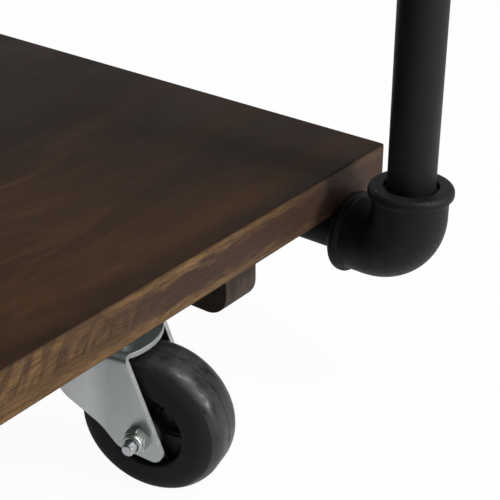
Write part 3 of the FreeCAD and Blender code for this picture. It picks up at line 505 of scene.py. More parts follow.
def powder_coat(settings):
    """Steel tube with a fine matt black powder coat: a dull sheen with a faint orange peel."""
    material, tree, place = new_material("matt_black_powder_coated_steel_tube")
    peel = add(tree, "TexNoise", {"Vector": place, "Scale": per(1.111), "Detail": 2.0}, out="Fac")
    wear = add(tree, "TexNoise", {"Vector": place, "Scale": per(26.3), "Detail": 4.0}, out="Fac")
    colour = blend(tree, wear, 0.3, 0.7, settings.coat, linear("#242323"))
    chips = add(tree, "TexVoronoi", {"Vector": place, "Scale": per(20.83)}, out="Distance")
    colour = blend(tree, chips, 0.03, 0.015, colour, settings.bared, 0.7)
    rough = add(tree, "MapRange", wear, 0.3, 0.7, 0.5, 0.6)
    return end_material(material, colour, rough, {"IOR": 1.5, "Specular IOR Level": 0.2}, peel, 0.12,
                        0.3 * MM)


def coated_casting(settings):
    """Malleable iron, sand cast, tumbled and coated matt black: a pebbly skin with a few bright specks.

    The sand's grit is finer than drawn here, where it is as coarse as it needs to be to show.
    """
    material, tree, place = new_material("matt_black_coated_sand_cast_iron")
    sand = add(tree, "TexNoise", {"Vector": place, "Scale": per(2.38), "Detail": 4.0, "Roughness": 0.6},
               out="Fac")
    lumps = add(tree, "TexNoise", {"Vector": place, "Scale": per(11.1), "Detail": 3.0}, out="Fac")
    specks = add(tree, "TexVoronoi", {"Vector": place, "Scale": per(13.3)}, out="Distance")
    speck = add(tree, "MapRange", specks, 0.045, 0.025, 0.0, 0.8)
    colour = blend(tree, lumps, 0.3, 0.7, settings.casting, linear("#22201e"))
    colour = add(tree, "Mix", {0: speck, 6: colour, 7: settings.bared}, **RGBA)
    rough = add(tree, "MapRange", sand, 0.3, 0.7, 0.42, 0.58)
    height = add(tree, "Math", "MULTIPLY_ADD", lumps, 1.6, sand)
    return end_material(material, colour, rough, {"IOR": 1.5, "Specular IOR Level": 0.18}, height, 0.28,
                        0.6 * MM)


def tube_mesh(name, radius, length, material):
    """A tube about its own middle, along Z, with its cut ends eased."""
    half = length / 2
    inner = radius - TUBE_WALL
    section = [(radius, half), (inner, half), (inner, -half), (radius, -half)]
    bm = bmesh.new()
    skin(bm, ring_rows(rounded([(x, y, TUBE_EASE) for x, y in section], steps=2)), wrap_rows=True)
    return to_mesh(bm, name, [material])


class CART_OT_tubes(bpy.types.Operator):
    """Sets up the posts, crossbars and handle bars"""
    bl_idname = "cart.tubes"
    bl_label = "Posts and bars"

    def execute(self, context):
        material = powder_coat(context.scene.cart_frame)
        upright = Matrix()
        crosswise = Matrix.Rotation(math.pi / 2, 4, "X")
        kinds = {f"{tier}_post": (upright, list(CORNERS)) for tier in TIERS}
        kinds.update({f"{tier}_crossbar": (crosswise, list(ENDS)) for tier in TIERS})
        kinds["handle_bar"] = (crosswise, list(ENDS))
        for kind, (turn, where) in kinds.items():
            size = span(f"{kind}_{where[0]}")
            mesh = tube_mesh(kind, size.x / 2, max(size), material)
            for spot in where:
                node = f"{kind}_{spot}"
                put(f"{node}_tube", mesh, "cart", node,
                    Matrix.Translation(middle(node)) @ turn)
        return {"FINISHED"}


def mouth_profile(settings, reach, body_radius, tube_radius):
    """(distance from the fitting's middle, radius) from behind the band, round the mouth, into the socket."""
    gap = tube_radius + settings.mouth_gap
    band = body_radius + settings.band_rise
    back = reach - settings.band_length
    floor = reach - settings.mouth_depth
    return rounded([
        (back - 4 * MM, body_radius, 0), (back, body_radius, 1.4 * MM), (back, band, 1.0 * MM),
        (reach, band, settings.band_rounding), (reach, gap, 0.7 * MM),
        (floor, gap, 0.5 * MM), (floor, tube_radius + 0.1 * MM, 0)], steps=6, closed=False)


def elbow_mesh(mouth, body_radius, material):
    """An elbow about the crossing of its axes, with one mouth along +Z and one along +Y."""
    bend = body_radius + 0.3 * MM
    start = min(along for along, _ in mouth)
    limb = [(bend + (start - bend) * k / LIMB_STEPS, body_radius) for k in range(LIMB_STEPS)] + list(mouth)

    def ring(centre, outward, radius):
        """The points round the elbow in the plane through the centre that holds X and the outward way."""
        side = Vector((1, 0, 0))
        return [centre + radius * (math.cos(a) * side + math.sin(a) * outward) for a in turns()]

    rows = [ring(Vector((0, 0, along)), Vector((0, -1, 0)), radius) for along, radius in reversed(limb)]
    hub = Vector((0, bend, bend))
    for angle in quarter(BEND_STEPS)[1:-1]:
        outward = Vector((0, -math.cos(angle), -math.sin(angle)))
        rows.append(ring(hub + bend * outward, outward, body_radius))
    rows += [ring(Vector((0, along, 0)), Vector((0, 0, -1)), radius) for along, radius in limb]
    bm = bmesh.new()
    skin(bm, rows)
    soften(bm, [v for v in bm.verts if math.hypot(v.co.y - bend, v.co.z - bend) < 5 * MM], 12)
    return to_mesh(bm, "elbow", [material])


def tee_mesh(mouth, body_radius, material):
    """A tee about the crossing of its axes: its run is along Z and its branch along +Y, and they blend."""
    start = min(along for along, _ in mouth)
    shares = [(k / TEE_STEPS) ** 1.5 for k in range(TEE_STEPS)]
    bm = bmesh.new()

    def limb(meeting, place):
        """One limb, from where it meets the others, which differs round it, to its mouth."""
        lows = [(angle, body_radius * meeting(math.sin(angle))) for angle in turns()]
        rows = [[place(body_radius, angle, low + (start - low) * share) for angle, low in lows]
                for share in shares]
        rows += [[place(radius, angle, along) for angle in turns()] for along, radius in mouth]
        skin(bm, rows)

    for sign in (1, -1):
        limb(lambda sine: max(0.0, sine), lambda radius, angle, along: polar(radius, angle, sign * along))
    limb(abs, lambda radius, angle, along: polar(radius, angle, along).xzy)
    bmesh.ops.remove_doubles(bm, verts=bm.verts, dist=1e-6)
    soften(bm, [v for v in bm.verts if v.co.y > -1e-6 and abs(abs(v.co.z) - v.co.y) < 3.5 * MM
                and v.co.y < body_radius + 2 * MM], 10)
    return to_mesh(bm, "tee", [material])


class CART_OT_fittings(bpy.types.Operator):
    """Casts the elbows and tees"""
    bl_idname = "cart.fittings"
    bl_label = "Elbows and tees"

    def execute(self, context):
        settings = context.scene.cart_frame
        material = coated_casting(settings)
        size = span("tee_front_right")
        body_radius = size.x / 2 - settings.band_rise
        mouth = mouth_profile(settings, size.z / 2, body_radius, span("lower_post_front_right").x / 2)
        elbow = elbow_mesh(mouth, body_radius, material)
        tee = tee_mesh(mouth, body_radius, material)
        for corner, (_, side) in CORNERS.items():
            post = middle(f"lower_post_{corner}")
            end = corner.split("_")[1]
            inward = Matrix.Rotation(0 if side < 0 else math.pi, 4, "Z")
            for kind, bar, mesh, flip in (("lower_elbow", "lower_crossbar", elbow, 0),
                                          ("tee", "upper_crossbar", tee, 0),
                                          ("top_elbow", "handle_bar", elbow, math.pi)):
                node = f"{kind}_{corner}"
                at = Vector((post.x, post.y, middle(f"{bar}_{end}").z))
                put(f"{node}_casting", mesh, "cart", node,
                    Matrix.Translation(at) @ inward @ Matrix.Rotation(flip, 4, "Y"))
        return {"FINISHED"}


# --- Casters. Their meshes are made about the swivel axis at the axle's height, or about the axle itself. ---
class CasterSettings(bpy.types.PropertyGroup):
    zinc: colour_setting("Sheet zinc", "Zinc plate on the pressed sheet", "#d9dcde")
    hardware: colour_setting("Bolt zinc", "Brighter zinc on the bolts and pins", "#bcbfc6")
    rubber: colour_setting("Rubber", "Hard black rubber of the wheels", "#282829")
    sheet: length_setting("Fork sheet", "Thickness of the fork's steel", 0.0029, 0.001)
    inside: length_setting("Fork width", "Middle of the wheel to the inner face of a leg", 0.0175, 0.005)
    wheel_width: length_setting("Wheel width", "Width over the wheel's side faces", 0.0311, 0.005)
    flats: length_setting("Hexagon", "Width across the flats of the axle nut and head", 0.0111, 0.003)
    pitch: length_setting("Thread pitch", "Pitch of the axle bolt's thread", 0.00127, 0.0003)
    ribs: IntProperty(name="Ribs", description="Ribs in each side of a wheel", default=6, min=3, max=12)


def rolled_zinc(colour):
    """Rolled steel sheet, pressed, then zinc plated and passivated clear.

    It is a satin mirror: rolling lines down the sheet, soft clouds in the gloss, and a cool cast that darkens
    it towards the axle, which is a painted reflection. The lines are drawn wider than real ones, so that they
    show.
    """
    material, tree, place = new_material("zinc_plated_rolled_steel_sheet")
    lines = stretched_noise(tree, place, (0.625, 0.625, 16.67), detail=2.0, roughness=0.7)
    clouds = stretched_noise(tree, place, (14.29, 14.29, 22.22), detail=3.0)
    gloss = add(tree, "MapRange", clouds, 0.3, 0.7, 0.26, 0.36)
    rough = add(tree, "Math", "MULTIPLY_ADD", lines, 0.08, gloss)
    # painted reflection: the sheet turns darker and cooler towards the axle's side
    along = add(tree, "SeparateXYZ", place, out="Y")
    along = add(tree, "Math", "MULTIPLY_ADD", clouds, 0.012, along)
    tone = blend(tree, along, 0.004, -0.009, colour, linear("#adb3b2"))
    return end_material(material, tone, rough, {"Metallic": 1.0}, lines, 0.08, 0.2 * MM)


def sheared_steel():
    """Cut edge of the sheet: plated over the shear marks, so it is matt, with fine lines across it."""
    material, tree, place = new_material("sheared_zinc_plated_edge")
    marks = stretched_noise(tree, place, (5, 0.2778, 0.2778), detail=2.0, roughness=0.8)
    colour = blend(tree, marks, 0.35, 0.65, linear("#a3a5a6"), linear("#d2d4d5"))
    return end_material(material, colour, 0.6, {"Metallic": 0.6}, marks, 0.2, 0.2 * MM)


def bright_zinc(name, colour):
    """Machined or cold-headed steel, barrel zinc plated: brighter and smoother than the sheet."""
    material, tree, place = new_material(name)
    dull = add(tree, "TexNoise", {"Vector": place, "Scale": per(3.846), "Detail": 3.0}, out="Fac")
    rough = add(tree, "MapRange", dull, 0.3, 0.7, 0.3, 0.44)
    tone = blend(tree, dull, 0.4, 0.7, colour, linear("#c2c3c4"))
    return end_material(material, tone, rough, {"Metallic": 1.0}, dull, 0.06, 0.2 * MM)


def dark_nylon():
    """Moulded nylon locking ring: dark, with a waxy sheen."""
    material, tree, place = new_material("moulded_dark_nylon")
    grain = add(tree, "TexNoise", {"Vector": place, "Scale": per(1.11)}, out="Fac")
    rough = add(tree, "MapRange", grain, 0.3, 0.7, 0.4, 0.55)
    return end_material(material, linear("#2a2c2d"), rough, {"IOR": 1.53})


def moulded_rubber(settings):
    """Hard rubber from a blasted mould: dull black sides, and greyer recesses, where a coat of dust is drawn
    paler as painted light that lifts their shade.
    """
    material, tree, place = new_material("moulded_hard_black_rubber")
    dust = add(tree, "TexNoise", {"Vector": place, "Scale": per(8.33), "Detail": 4.0}, out="Fac")
    rough = add(tree, "MapRange", dust, 0.3, 0.7, 0.42, 0.55)
    colour = blend(tree, dust, 0.35, 0.7, settings.rubber, linear("#2b2a2a"), 0.6)
    # the recesses are painted paler: a coat of dust, and painted light that lifts their shade
    height = add(tree, "SeparateXYZ", place, out="Z")
    height = add(tree, "Math", "ABSOLUTE", height)
    recess_dust_and_light = add(tree, "MapRange", height, 9.5 * MM, 6.0 * MM)
    flat = add(tree, "VectorMath", "MULTIPLY", place, (1.0, 1.0, 0.0))
    radius = add(tree, "VectorMath", "LENGTH", flat, out="Value")
    inside = add(tree, "Math", "LESS_THAN", radius, 22 * MM)
    recess_dust_and_light = add(tree, "Math", "MULTIPLY", recess_dust_and_light, inside)
    colour = add(tree, "Mix", {0: recess_dust_and_light, 6: colour, 7: linear("#69696a")}, **RGBA)
    return end_material(material, colour, rough, {"IOR": 1.52, "Specular IOR Level": 0.12}, dust, 0.12,
                        0.4 * MM)


def ground_tread(wheel_radius):
    """The tread, turned true and buffed: glossy, with wipe marks round it that streak its highlights."""
    material, tree, place = new_material("turned_and_buffed_rubber_tread")
    parts = add(tree, "SeparateXYZ", place, out=None)
    turn = add(tree, "Math", "ARCTAN2", parts["Y"], parts["X"])
    flat = add(tree, "CombineXYZ", parts["X"], parts["Y"])
    radius = add(tree, "VectorMath", "LENGTH", flat, out="Value")
    arc = add(tree, "Math", "MULTIPLY", turn, wheel_radius)
    around = add(tree, "CombineXYZ", arc, radius, parts["Z"])
    wipes = stretched_noise(tree, around, (7.62, 2.38, 2.38), detail=4.0, roughness=0.7)
    smears = stretched_noise(tree, around, (11.2, 16.1, 16.1), detail=3.0, roughness=0.6)
    both = add(tree, "Math", "MULTIPLY_ADD", smears, 0.9, wipes)
    rough = add(tree, "MapRange", both, 0.76, 1.14, 0.24, 0.6)
    colour = blend(tree, both, 0.78, 1.12, linear("#1a1a1b"), linear("#2d2c2c"))
    return end_material(material, colour, rough, {"IOR": 1.52, "Specular IOR Level": 0.5}, wipes, 0.12,
                        0.4 * MM)


def caster_places(corner):
    """Matrices of a caster: about its swivel axis with the axle along X, and about its axle along Z."""
    joints = {joint["name"]: joint for joint in frame["joints"]}
    swivel = Vector(joints[f"swivel_{corner}"]["pos_m"])
    axle = Vector(joints[f"roll_{corner}"]["pos_m"])
    along = Vector(joints[f"roll_{corner}"]["axis"])
    up = Vector((0, 0, 1))
    back = up.cross(along)

    def matrix(x, y, z, origin):
        axes = Matrix((x, y, z)).transposed().to_4x4()
        axes.translation = origin
        return axes

    trail = (axle - swivel).xy.length
    return (matrix(along, back, up, Vector((swivel.x, swivel.y, axle.z))),
            matrix(back, up, along, axle), trail)


def leg_outline(trail):
    """Side view of a leg about the swivel axis: its front edge, toe, heel, hollow and hip."""
    top, axle = CROWN_RISE / MM, trail / MM
    corners = [(-23.6, top, 0), (-axle - 14.6, -14.2, 5), (-axle + 12.0, -9.0, 7), (-axle + 20.6, 1.2, 24),
               (-axle + 42.0, 14.8, 15), (22.8, top, 0)]
    return [point * MM for point in rounded(corners, steps=8)]


def leg_edges(outline, height):
    """Where a level line crosses the leg's front and back edges."""
    crossings = []
    for here, after in zip(outline, outline[1:] + outline[:1]):
        if here.y != after.y and (here.y - height) * (after.y - height) <= 0:
            crossings.append(here.x + (after.x - here.x) * (height - here.y) / (after.y - here.y))
    return min(crossings), max(crossings)


def fork_stations(settings, trail):
    """Stations over the folded sheet, leg to leg: (outer point, way into the sheet, front, back)."""
    outline = leg_outline(trail)
    lowest = min(point.y for point in outline)
    outside = settings.inside + settings.sheet
    fold = BEND_RADIUS + settings.sheet
    leg_top = CROWN_RISE - fold
    half = []
    for k in range(LEG_STEPS + 1):
        height = lowest + (leg_top - lowest) * (k / LEG_STEPS) ** 1.8
        half.append((Vector((-outside, height)), Vector((1, 0)), *leg_edges(outline, height)))
    leg_front, leg_back = half[-1][2:]
    for k, angle in enumerate(quarter(FOLD_STEPS)[1:], 1):
        way = Vector((math.cos(angle), -math.sin(angle)))
        spot = Vector((fold - outside, leg_top)) - fold * way
        disc = math.sqrt(CROWN_RADIUS ** 2 - spot.x ** 2)
        share = (k / FOLD_STEPS) ** 2 * (3 - 2 * k / FOLD_STEPS)
        half.append((spot, way, leg_front + (-disc - leg_front) * share,
                     leg_back + (disc - leg_back) * share))
    for k in range(1, CROWN_STEPS + 1):
        spot = Vector(((fold - outside) * (1 - k / CROWN_STEPS), CROWN_RISE))
        disc = math.sqrt(CROWN_RADIUS ** 2 - spot.x ** 2)
        half.append((spot, Vector((0, -1)), -disc, disc))
    flip = Vector((-1, 1))
    return half + [(spot * flip, way * flip, front, back) for spot, way, front, back in reversed(half[:-1])]


def sheet_ring(spot, way, front, back, sheet):
    """The closed section of the sheet at one station, its cut edges slightly rounded."""
    ease = min(0.4 * MM, (back - front) * 0.45)
    outer = [(front + ease + (back - front - 2 * ease) * k / ACROSS, 0.0) for k in range(ACROSS + 1)]
    arc = [(ease * (1 - math.sin(a)), ease * (1 - math.cos(a))) for a in quarter(3)[1:]]
    cut = [(back - inset, depth) for inset, depth in arc]
    cut += [(back - depth, sheet - inset) for inset, depth in arc]
    inner = [(y, sheet) for y, _ in reversed(outer)][1:]
    far = [(front + back - y, sheet - depth) for y, depth in cut][:-1]
    return [Vector((spot.x + way.x * depth, y, spot.y + way.y * depth))
            for y, depth in outer + cut + inner + far]


def drill(mesh, holes):
    """The mesh with round holes, each (radius, start, end), cut through it."""
    bm = bmesh.new()
    for radius, start, end in holes:
        way = end - start
        turn = way.to_track_quat("Z", "Y").to_matrix().to_4x4()
        turn.translation = (start + end) / 2
        bmesh.ops.create_cone(bm, cap_ends=True, segments=48, radius1=radius, radius2=radius,
                              depth=way.length, matrix=turn)
    tool_mesh = bpy.data.meshes.new("drill")
    bm.to_mesh(tool_mesh)
    bm.free()
    tool, blank = show("drill", tool_mesh), show("blank", mesh)
    cut = blank.modifiers.new("cut", "BOOLEAN")
    cut.operation = "DIFFERENCE"
    cut.solver = "EXACT"
    cut.object = tool
    shown = blank.evaluated_get(bpy.context.evaluated_depsgraph_get())
    drilled = bpy.data.meshes.new_from_object(shown)
    drilled.name = mesh.name
    for thing in (tool, blank):
        bpy.data.objects.remove(thing)
    return drilled


def fork_mesh(settings, trail, materials):
    """The folded fork with its rounded crown, and the lower race on top of it."""
    rows = [sheet_ring(*station, settings.sheet) for station in fork_stations(settings, trail)]
    bm = bmesh.new()
    faces = skin(bm, rows, capped=True)
    sides = set(range(ACROSS, ACROSS + CUT_STEPS)) | set(range(2 * ACROSS + CUT_STEPS, len(rows[0])))
    for i, face in enumerate(faces):
        if i % len(rows[0]) in sides or face in faces[-2:]:
            face.material_index = 1
    bmesh.ops.remove_doubles(bm, verts=bm.verts, dist=5e-6)
    bmesh.ops.dissolve_degenerate(bm, dist=1e-6, edges=bm.edges)
    axle, reach = Vector((0, -trail, 0)), Vector((60 * MM, 0, 0))
    pin, up = Vector((0, 0, CROWN_RISE)), Vector((0, 0, 20 * MM))
    mesh = drill(to_mesh(bm, "fork", materials, crease=35),
                 [(SHANK_HOLE, axle - reach, axle + reach), (PIN_HOLE, pin - up, pin + up)])
    race = [(10.5, -0.6, 0), (10.5, 4, 0.4), (18, 4, 0.8), (18, 0, 0.6), (19.4, -0.1, 0), (19.4, -0.6, 0)]
    race = [(radius * MM, CROWN_RISE + rise * MM, rounding * MM) for radius, rise, rounding in race]
    bm = bmesh.new()
    bm.from_mesh(mesh)
    skin(bm, ring_rows(rounded(race, steps=4), 64), wrap_rows=True)
    return to_mesh(bm, "fork", materials, crease=35)


class CART_OT_forks(bpy.types.Operator):
    """Presses the four caster forks, and plates the parts above them"""
    bl_idname = "cart.forks"
    bl_label = "Forks and swivel plates"

    def execute(self, context):
        settings = context.scene.cart_caster
        sheet = rolled_zinc(settings.zinc)
        pins = bright_zinc("zinc_plated_cold_headed_pins", settings.hardware)
        mesh = None
        for corner in CORNERS:
            about_swivel, _, trail = caster_places(corner)
            mesh = mesh or fork_mesh(settings, trail, [sheet, sheared_steel()])
            node = f"caster_fork_{corner}"
            put(f"fork_{corner}_sheet", mesh, f"fork_{corner}", node, about_swivel)
            dress(f"caster_plate_{corner}", sheet)
        dress("caster_kingpins", pins)
        dress("swivel_balls", bright_zinc("polished_bearing_steel", linear("#c9cacc")), crease=60)
        return {"FINISHED"}


def wheel_mesh(settings, wheel_radius, materials):
    """The wheel about its axle: hub, web with ribs, dished sides, rounded tread and a fine parting line."""
    side = settings.wheel_width / 2
    hub_end = settings.inside - 0.3 * MM
    web, hub, recess, rib_top = 5.5 * MM, 9.5 * MM, 20 * MM, 10.5 * MM
    half = [
        (PIN_HOLE, hub_end, 0.3 * MM), (hub, hub_end, 1.0 * MM), (hub, web, 1.5 * MM),
        (recess - 0.6 * MM, web, 2.5 * MM), (recess, side, 1.3 * MM), (wheel_radius, side, 11 * MM),
        (wheel_radius, 0.3 * MM, 0), (wheel_radius - 0.3 * MM, 0.05 * MM, 0)]
    other = [(radius, -along, rounding) for radius, along, rounding in reversed(half)]
    bm = bmesh.new()
    skin(bm, ring_rows(rounded(half + other, steps=14), 160), wrap_rows=True)
    for angle in turns(settings.ribs):
        for face in (1, -1):
            rib = bmesh.ops.create_cube(bm, size=1.0)["verts"]
            for vert in rib:
                top = vert.co.z * face > 0
                width, height = (2.8 * MM, rib_top) if top else (3.6 * MM, web - 0.5 * MM)
                end = hub - 1.5 * MM if vert.co.x < 0 else recess + 0.8 * MM
                vert.co = Matrix.Rotation(angle, 4, "Z") @ Vector((end, vert.co.y * width, face * height))
            edges = {edge for vert in rib for edge in vert.link_edges}
            bmesh.ops.bevel(bm, geom=list(edges), offset=1.0 * MM, segments=3, profile=0.5, affect="EDGES")
    buffed_from = wheel_radius * 0.925
    for face in bm.faces:
        if face.calc_center_median().xy.length > buffed_from:
            face.material_index = 1
    return to_mesh(bm, "wheel", materials, crease=35)


class CART_OT_wheels(bpy.types.Operator):
    """Moulds the four wheels"""
    bl_idname = "cart.wheels"
    bl_label = "Wheels"

    def execute(self, context):
        settings = context.scene.cart_caster
        wheel_radius = span("wheel_front_right").z / 2
        mesh = wheel_mesh(settings, wheel_radius, [moulded_rubber(settings), ground_tread(wheel_radius)])
        bush = bright_zinc("turned_steel_bushing", linear("#b7b6b4"))
        for corner in CORNERS:
            _, about_axle, _ = caster_places(corner)
            wheel = f"wheel_{corner}"
            put(f"{wheel}_rubber", mesh, wheel, wheel, about_axle)
            dress(f"wheel_bushing_{corner}", bush)
        return {"FINISHED"}


def hexagon_rows(flats, bottom, top, chamfer_bottom, chamfer_top):
    """Rings up a hexagon block whose corners are turned off by a cone at either end."""
    corner, inner = flats / math.sqrt(3), flats / 2
    slope = math.tan(math.radians(30))
    steps = [(corner - inner) * slope * 2 * level for level in (0.0, 0.08, 0.16, 0.24, 0.32, 0.42, 0.55)]
    rows = []
    for height in [bottom + step for step in steps] + [top - step for step in reversed(steps)]:
        limit = corner
        if chamfer_top:
            limit = min(limit, inner * 0.97 + (top - height) / slope)
        if chamfer_bottom:
            limit = min(limit, inner * 0.97 + (height - bottom) / slope)
        # a side is nearest the axis at its middle, and the first ring point is a corner
        rows.append([polar(min(inner / math.cos((angle - HEX_TURN) % (math.pi / 3) - math.pi / 6), limit),
                           angle, height) for angle in turns(HEX_RING, HEX_TURN)])
    return rows


def turned(profile):
    """Rings that join up with the hexagons' rings."""
    return ring_rows(profile, HEX_RING, HEX_TURN)


def nut_mesh(settings, materials):
    """Locking nut about the axle, its seat at 0: built outwards along -Z, with its ring inside the collar."""
    mouth = SHANK_RADIUS + 0.75 * MM
    ring_top = COLLAR_TOP - 1.0 * MM
    collar = rounded([
        (settings.flats / 2 * 0.97, NUT_HEIGHT, 0), (COLLAR_RADIUS, NUT_HEIGHT, 0.25 * MM),
        (COLLAR_RADIUS, COLLAR_TOP, 1.5 * MM), (mouth, COLLAR_TOP, 0.35 * MM), (mouth, ring_top, 0)],
        steps=6, closed=False)
    bm = bmesh.new()
    block = hexagon_rows(settings.flats, 0.0, NUT_HEIGHT, True, True)
    skin(bm, turned([(SHANK_HOLE, 0.0)]) + block + turned(collar))
    skin(bm, turned([(mouth, ring_top), (SHANK_HOLE, ring_top), (SHANK_HOLE, 0.0)]), material=1)
    bmesh.ops.scale(bm, vec=(1, 1, -1), verts=bm.verts)
    return to_mesh(bm, "axle_nut", materials, crease=28)


def bolt_mesh(settings, material):
    """Axle bolt about the axle: hexagon head at +Z, plain shank, rolled thread and chamfered end at -Z."""
    outside = settings.inside + settings.sheet
    end = -(outside + BOLT_TIP)
    thread_start = -outside + 4 * MM
    head_top = outside + HEAD_HEIGHT
    root = SHANK_RADIUS - 0.32 * settings.pitch
    rows = turned([(0.0005 * MM, end), (root * 0.45, end), (root * 0.9, end)])
    steps = int((thread_start - end) / settings.pitch * THREAD_STEPS)
    for i in range(steps + 1):
        height = end + (thread_start - end) * i / steps
        row = []
        for angle in turns(HEX_RING, HEX_TURN):
            share = (height / settings.pitch - angle / (2 * math.pi)) % 1.0
            crest = max(0.0, min(1.0, 1.35 * (1 - abs(2 * share - 1))))
            radius = min(root + (SHANK_RADIUS - root) * crest, root * 0.9 + height - end)
            row.append(polar(radius, angle, height))
        rows.append(row)
    washer = settings.flats * 0.46
    rows += turned([(SHANK_RADIUS, thread_start + 0.2 * MM), (SHANK_RADIUS, outside), (washer, outside),
                    (washer, outside + 0.3 * MM)])
    rows += hexagon_rows(settings.flats, outside + 0.3 * MM, head_top, False, True)
    rows += turned([(settings.flats * 0.3, head_top - 0.05 * MM), (0.0005 * MM, head_top - 0.05 * MM)])
    bm = bmesh.new()
    skin(bm, rows)
    return to_mesh(bm, "axle_bolt", [material], crease=32)


class CART_OT_axles(bpy.types.Operator):
    """Fits the axle bolts and their locking nuts"""
    bl_idname = "cart.axles"
    bl_label = "Axle bolts and nuts"

    def execute(self, context):
        settings = context.scene.cart_caster
        zinc = bright_zinc("barrel_zinc_plated_bolt_steel", settings.hardware)
        nut_zinc = bright_zinc("barrel_zinc_plated_nut_steel", linear("#b9c2b8"))
        nut = nut_mesh(settings, [nut_zinc, dark_nylon()])
        bolt = bolt_mesh(settings, zinc)
        outside = settings.inside + settings.sheet
        for corner in CORNERS:
            _, about_axle, _ = caster_places(corner)
            body = f"fork_{corner}"
            put(f"axle_bolt_{corner}_steel", bolt, body, f"axle_bolt_{corner}", about_axle)
            put(f"axle_nut_{corner}_steel", nut, body, f"axle_nut_{corner}",
                about_axle @ Matrix.Translation((0, 0, -outside)))
        return {"FINISHED"}


# --- Wood screws ---
def screw_places(node):
    """The middle of the underside of each screw head in a CAD node of many screws."""
    bm = bmesh.new()
    bm.from_mesh(frame["nodes"][node].data)
    bmesh.ops.remove_doubles(bm, verts=bm.verts, dist=1e-5)
    left = set(bm.verts)
    places = []
    while left:
        start = left.pop()
        reached, island = [start], [start.co.copy()]
        while reached:
            for edge in reached.pop().link_edges:
                for vert in edge.verts:
                    if vert in left:
                        left.remove(vert)
                        reached.append(vert)
                        island.append(vert.co.copy())
        xs, ys, zs = zip(*island)
        places.append(Vector(((min(xs) + max(xs)) / 2, (min(ys) + max(ys)) / 2, min(zs))))
    bm.free()
    return sorted(places, key=lambda place: (place.z, place.x, place.y))


def screw_head(bm, place, turn):
    """A pan head that faces down, with a cross recess pressed into it."""
    radius, height, arm, half_arm, depth = 4.75 * MM, 2.8 * MM, 2.3 * MM, 0.42 * MM, 1.5 * MM
    section = rounded([(radius * 0.9, height, 0), (radius, height, 0.3 * MM), (radius, 0, 2.2 * MM),
                       (0, 0, 0)], steps=8, closed=False)
    shares = (0.5, 0.42, 0.34, 0.26, 0.18, 0.1, 0.03)
    profile = section[:-1] + [Vector((radius * share, 0)) for share in shares]
    rows = ring_rows([(max(point.x, 1e-6), point.y) for point in profile], 64)
    for row in rows:
        for point in row:
            if (min(abs(point.x), abs(point.y)) < half_arm and max(abs(point.x), abs(point.y)) < arm
                    and point.z < 0.2 * MM):
                point.z += depth
            point.xyz = place + turn @ point
    skin(bm, rows)
    bm.faces.new([bm.verts.new(point) for point in rows[-1]])


class CART_OT_screws(bpy.types.Operator):
    """Drives the wood screws into the shelves"""
    bl_idname = "cart.screws"
    bl_label = "Wood screws"

    def execute(self, context):
        material = bright_zinc("zinc_plated_pan_head_screws", linear("#bfc0c1"))
        for node in ("long_screws", "caster_screws"):
            bm = bmesh.new()
            for i, place in enumerate(screw_places(node)):
                screw_head(bm, place, Matrix.Rotation(2.4 * i, 3, "Z"))
            name = f"{node}_heads"
            put(name, to_mesh(bm, name, [material], crease=30), "cart", node)
        return {"FINISHED"}


# --- Stage ---
WHITE = linear("#ffffff")


class StageSettings(bpy.types.PropertyGroup):
    floor: colour_setting("Floor", "Colour of the floor and backdrop", "#ffffff")
    shadow: share_setting("Shadow", "How much of the object's shadow the floor keeps", 0.04)
    mirrored_shadow: share_setting("Mirrored shadow", "How much of that shadow shows in reflections", 0.65)
    bounce: share_setting("Bounce", "How much light the floor throws back up", 0.35)
    key: power_setting("Key", "Power of the low softbox at the front right", 26.0)
    fill: power_setting("Fill", "Power of the large high softbox", 26.0)


def white_paper(settings):
    """White paper sweep: flat white to the eye with a faint shadow of what stands on it.

    In reflections it is white too, and its shadow is stronger there.
    """
    material = bpy.data.materials.new("white_paper_sweep")
    tree = new_tree(material)
    path = add(tree, "LightPath", out=None)
    mirrored = add(tree, "Math", "MAXIMUM", path["Is Glossy Ray"], path["Is Transmission Ray"])
    seen = add(tree, "Math", "MAXIMUM", path["Is Camera Ray"], mirrored)
    to_eye = add(tree, "Math", "MULTIPLY", path["Is Camera Ray"], 1 - settings.shadow)
    share = add(tree, "Math", "MULTIPLY_ADD", mirrored, 1 - settings.mirrored_shadow, to_eye)
    dim = (*[settings.bounce] * 3, 1.0)
    tone = add(tree, "Mix", {0: seen, 6: dim, 7: settings.floor}, **RGBA)
    paper = add(tree, "BsdfDiffuse", {"Color": tone})
    level = add(tree, "MapRange", mirrored, 0.0, 1.0, 1.0, 0.7)
    white = add(tree, "Emission", {"Color": WHITE, "Strength": level})
    add(tree, "OutputMaterial", {"Surface": add(tree, "MixShader", share, paper, white)}, out=None)
    return material


def white_air():
    """The world: white to the eye; as light and in reflections, bright behind the cart and dim before it."""
    world = bpy.data.worlds.new("white_air")
    tree = new_tree(world)
    path = add(tree, "LightPath", out=None)
    way = add(tree, "TexCoord", out="Generated")
    dim_side = Vector((-0.8, -0.5, 0.3)).normalized()
    towards = add(tree, "VectorMath", "DOT_PRODUCT", way, dim_side, out="Value")
    room = add(tree, "MapRange", towards, -0.5, 0.7, 0.42, 0.1)
    share = add(tree, "MapRange", path["Is Diffuse Ray"], 0.0, 1.0, 1.0, 0.6)
    lift = add(tree, "Math", "MULTIPLY", path["Is Diffuse Ray"], 0.07)
    room = add(tree, "Math", "MULTIPLY_ADD", room, share, lift)
    strength = add(tree, "Mix", {0: path["Is Camera Ray"], 2: room, 3: 1.0}, data_type="FLOAT")
    light = add(tree, "Background", {"Color": WHITE, "Strength": strength})
    add(tree, "OutputWorld", {"Surface": light}, out=None)
    bpy.context.scene.world = world


def softbox(name, size, power, at, aim):
    """A rectangular lamp that faces a point."""
    lamp = bpy.data.lights.new(name, "AREA")
    lamp.shape = "RECTANGLE"
    lamp.size, lamp.size_y = size
    lamp.energy = power
    holder = show(name, lamp)
    holder.location = at
    holder.rotation_euler = (Vector(aim) - Vector(at)).to_track_quat("-Z", "Y").to_euler()


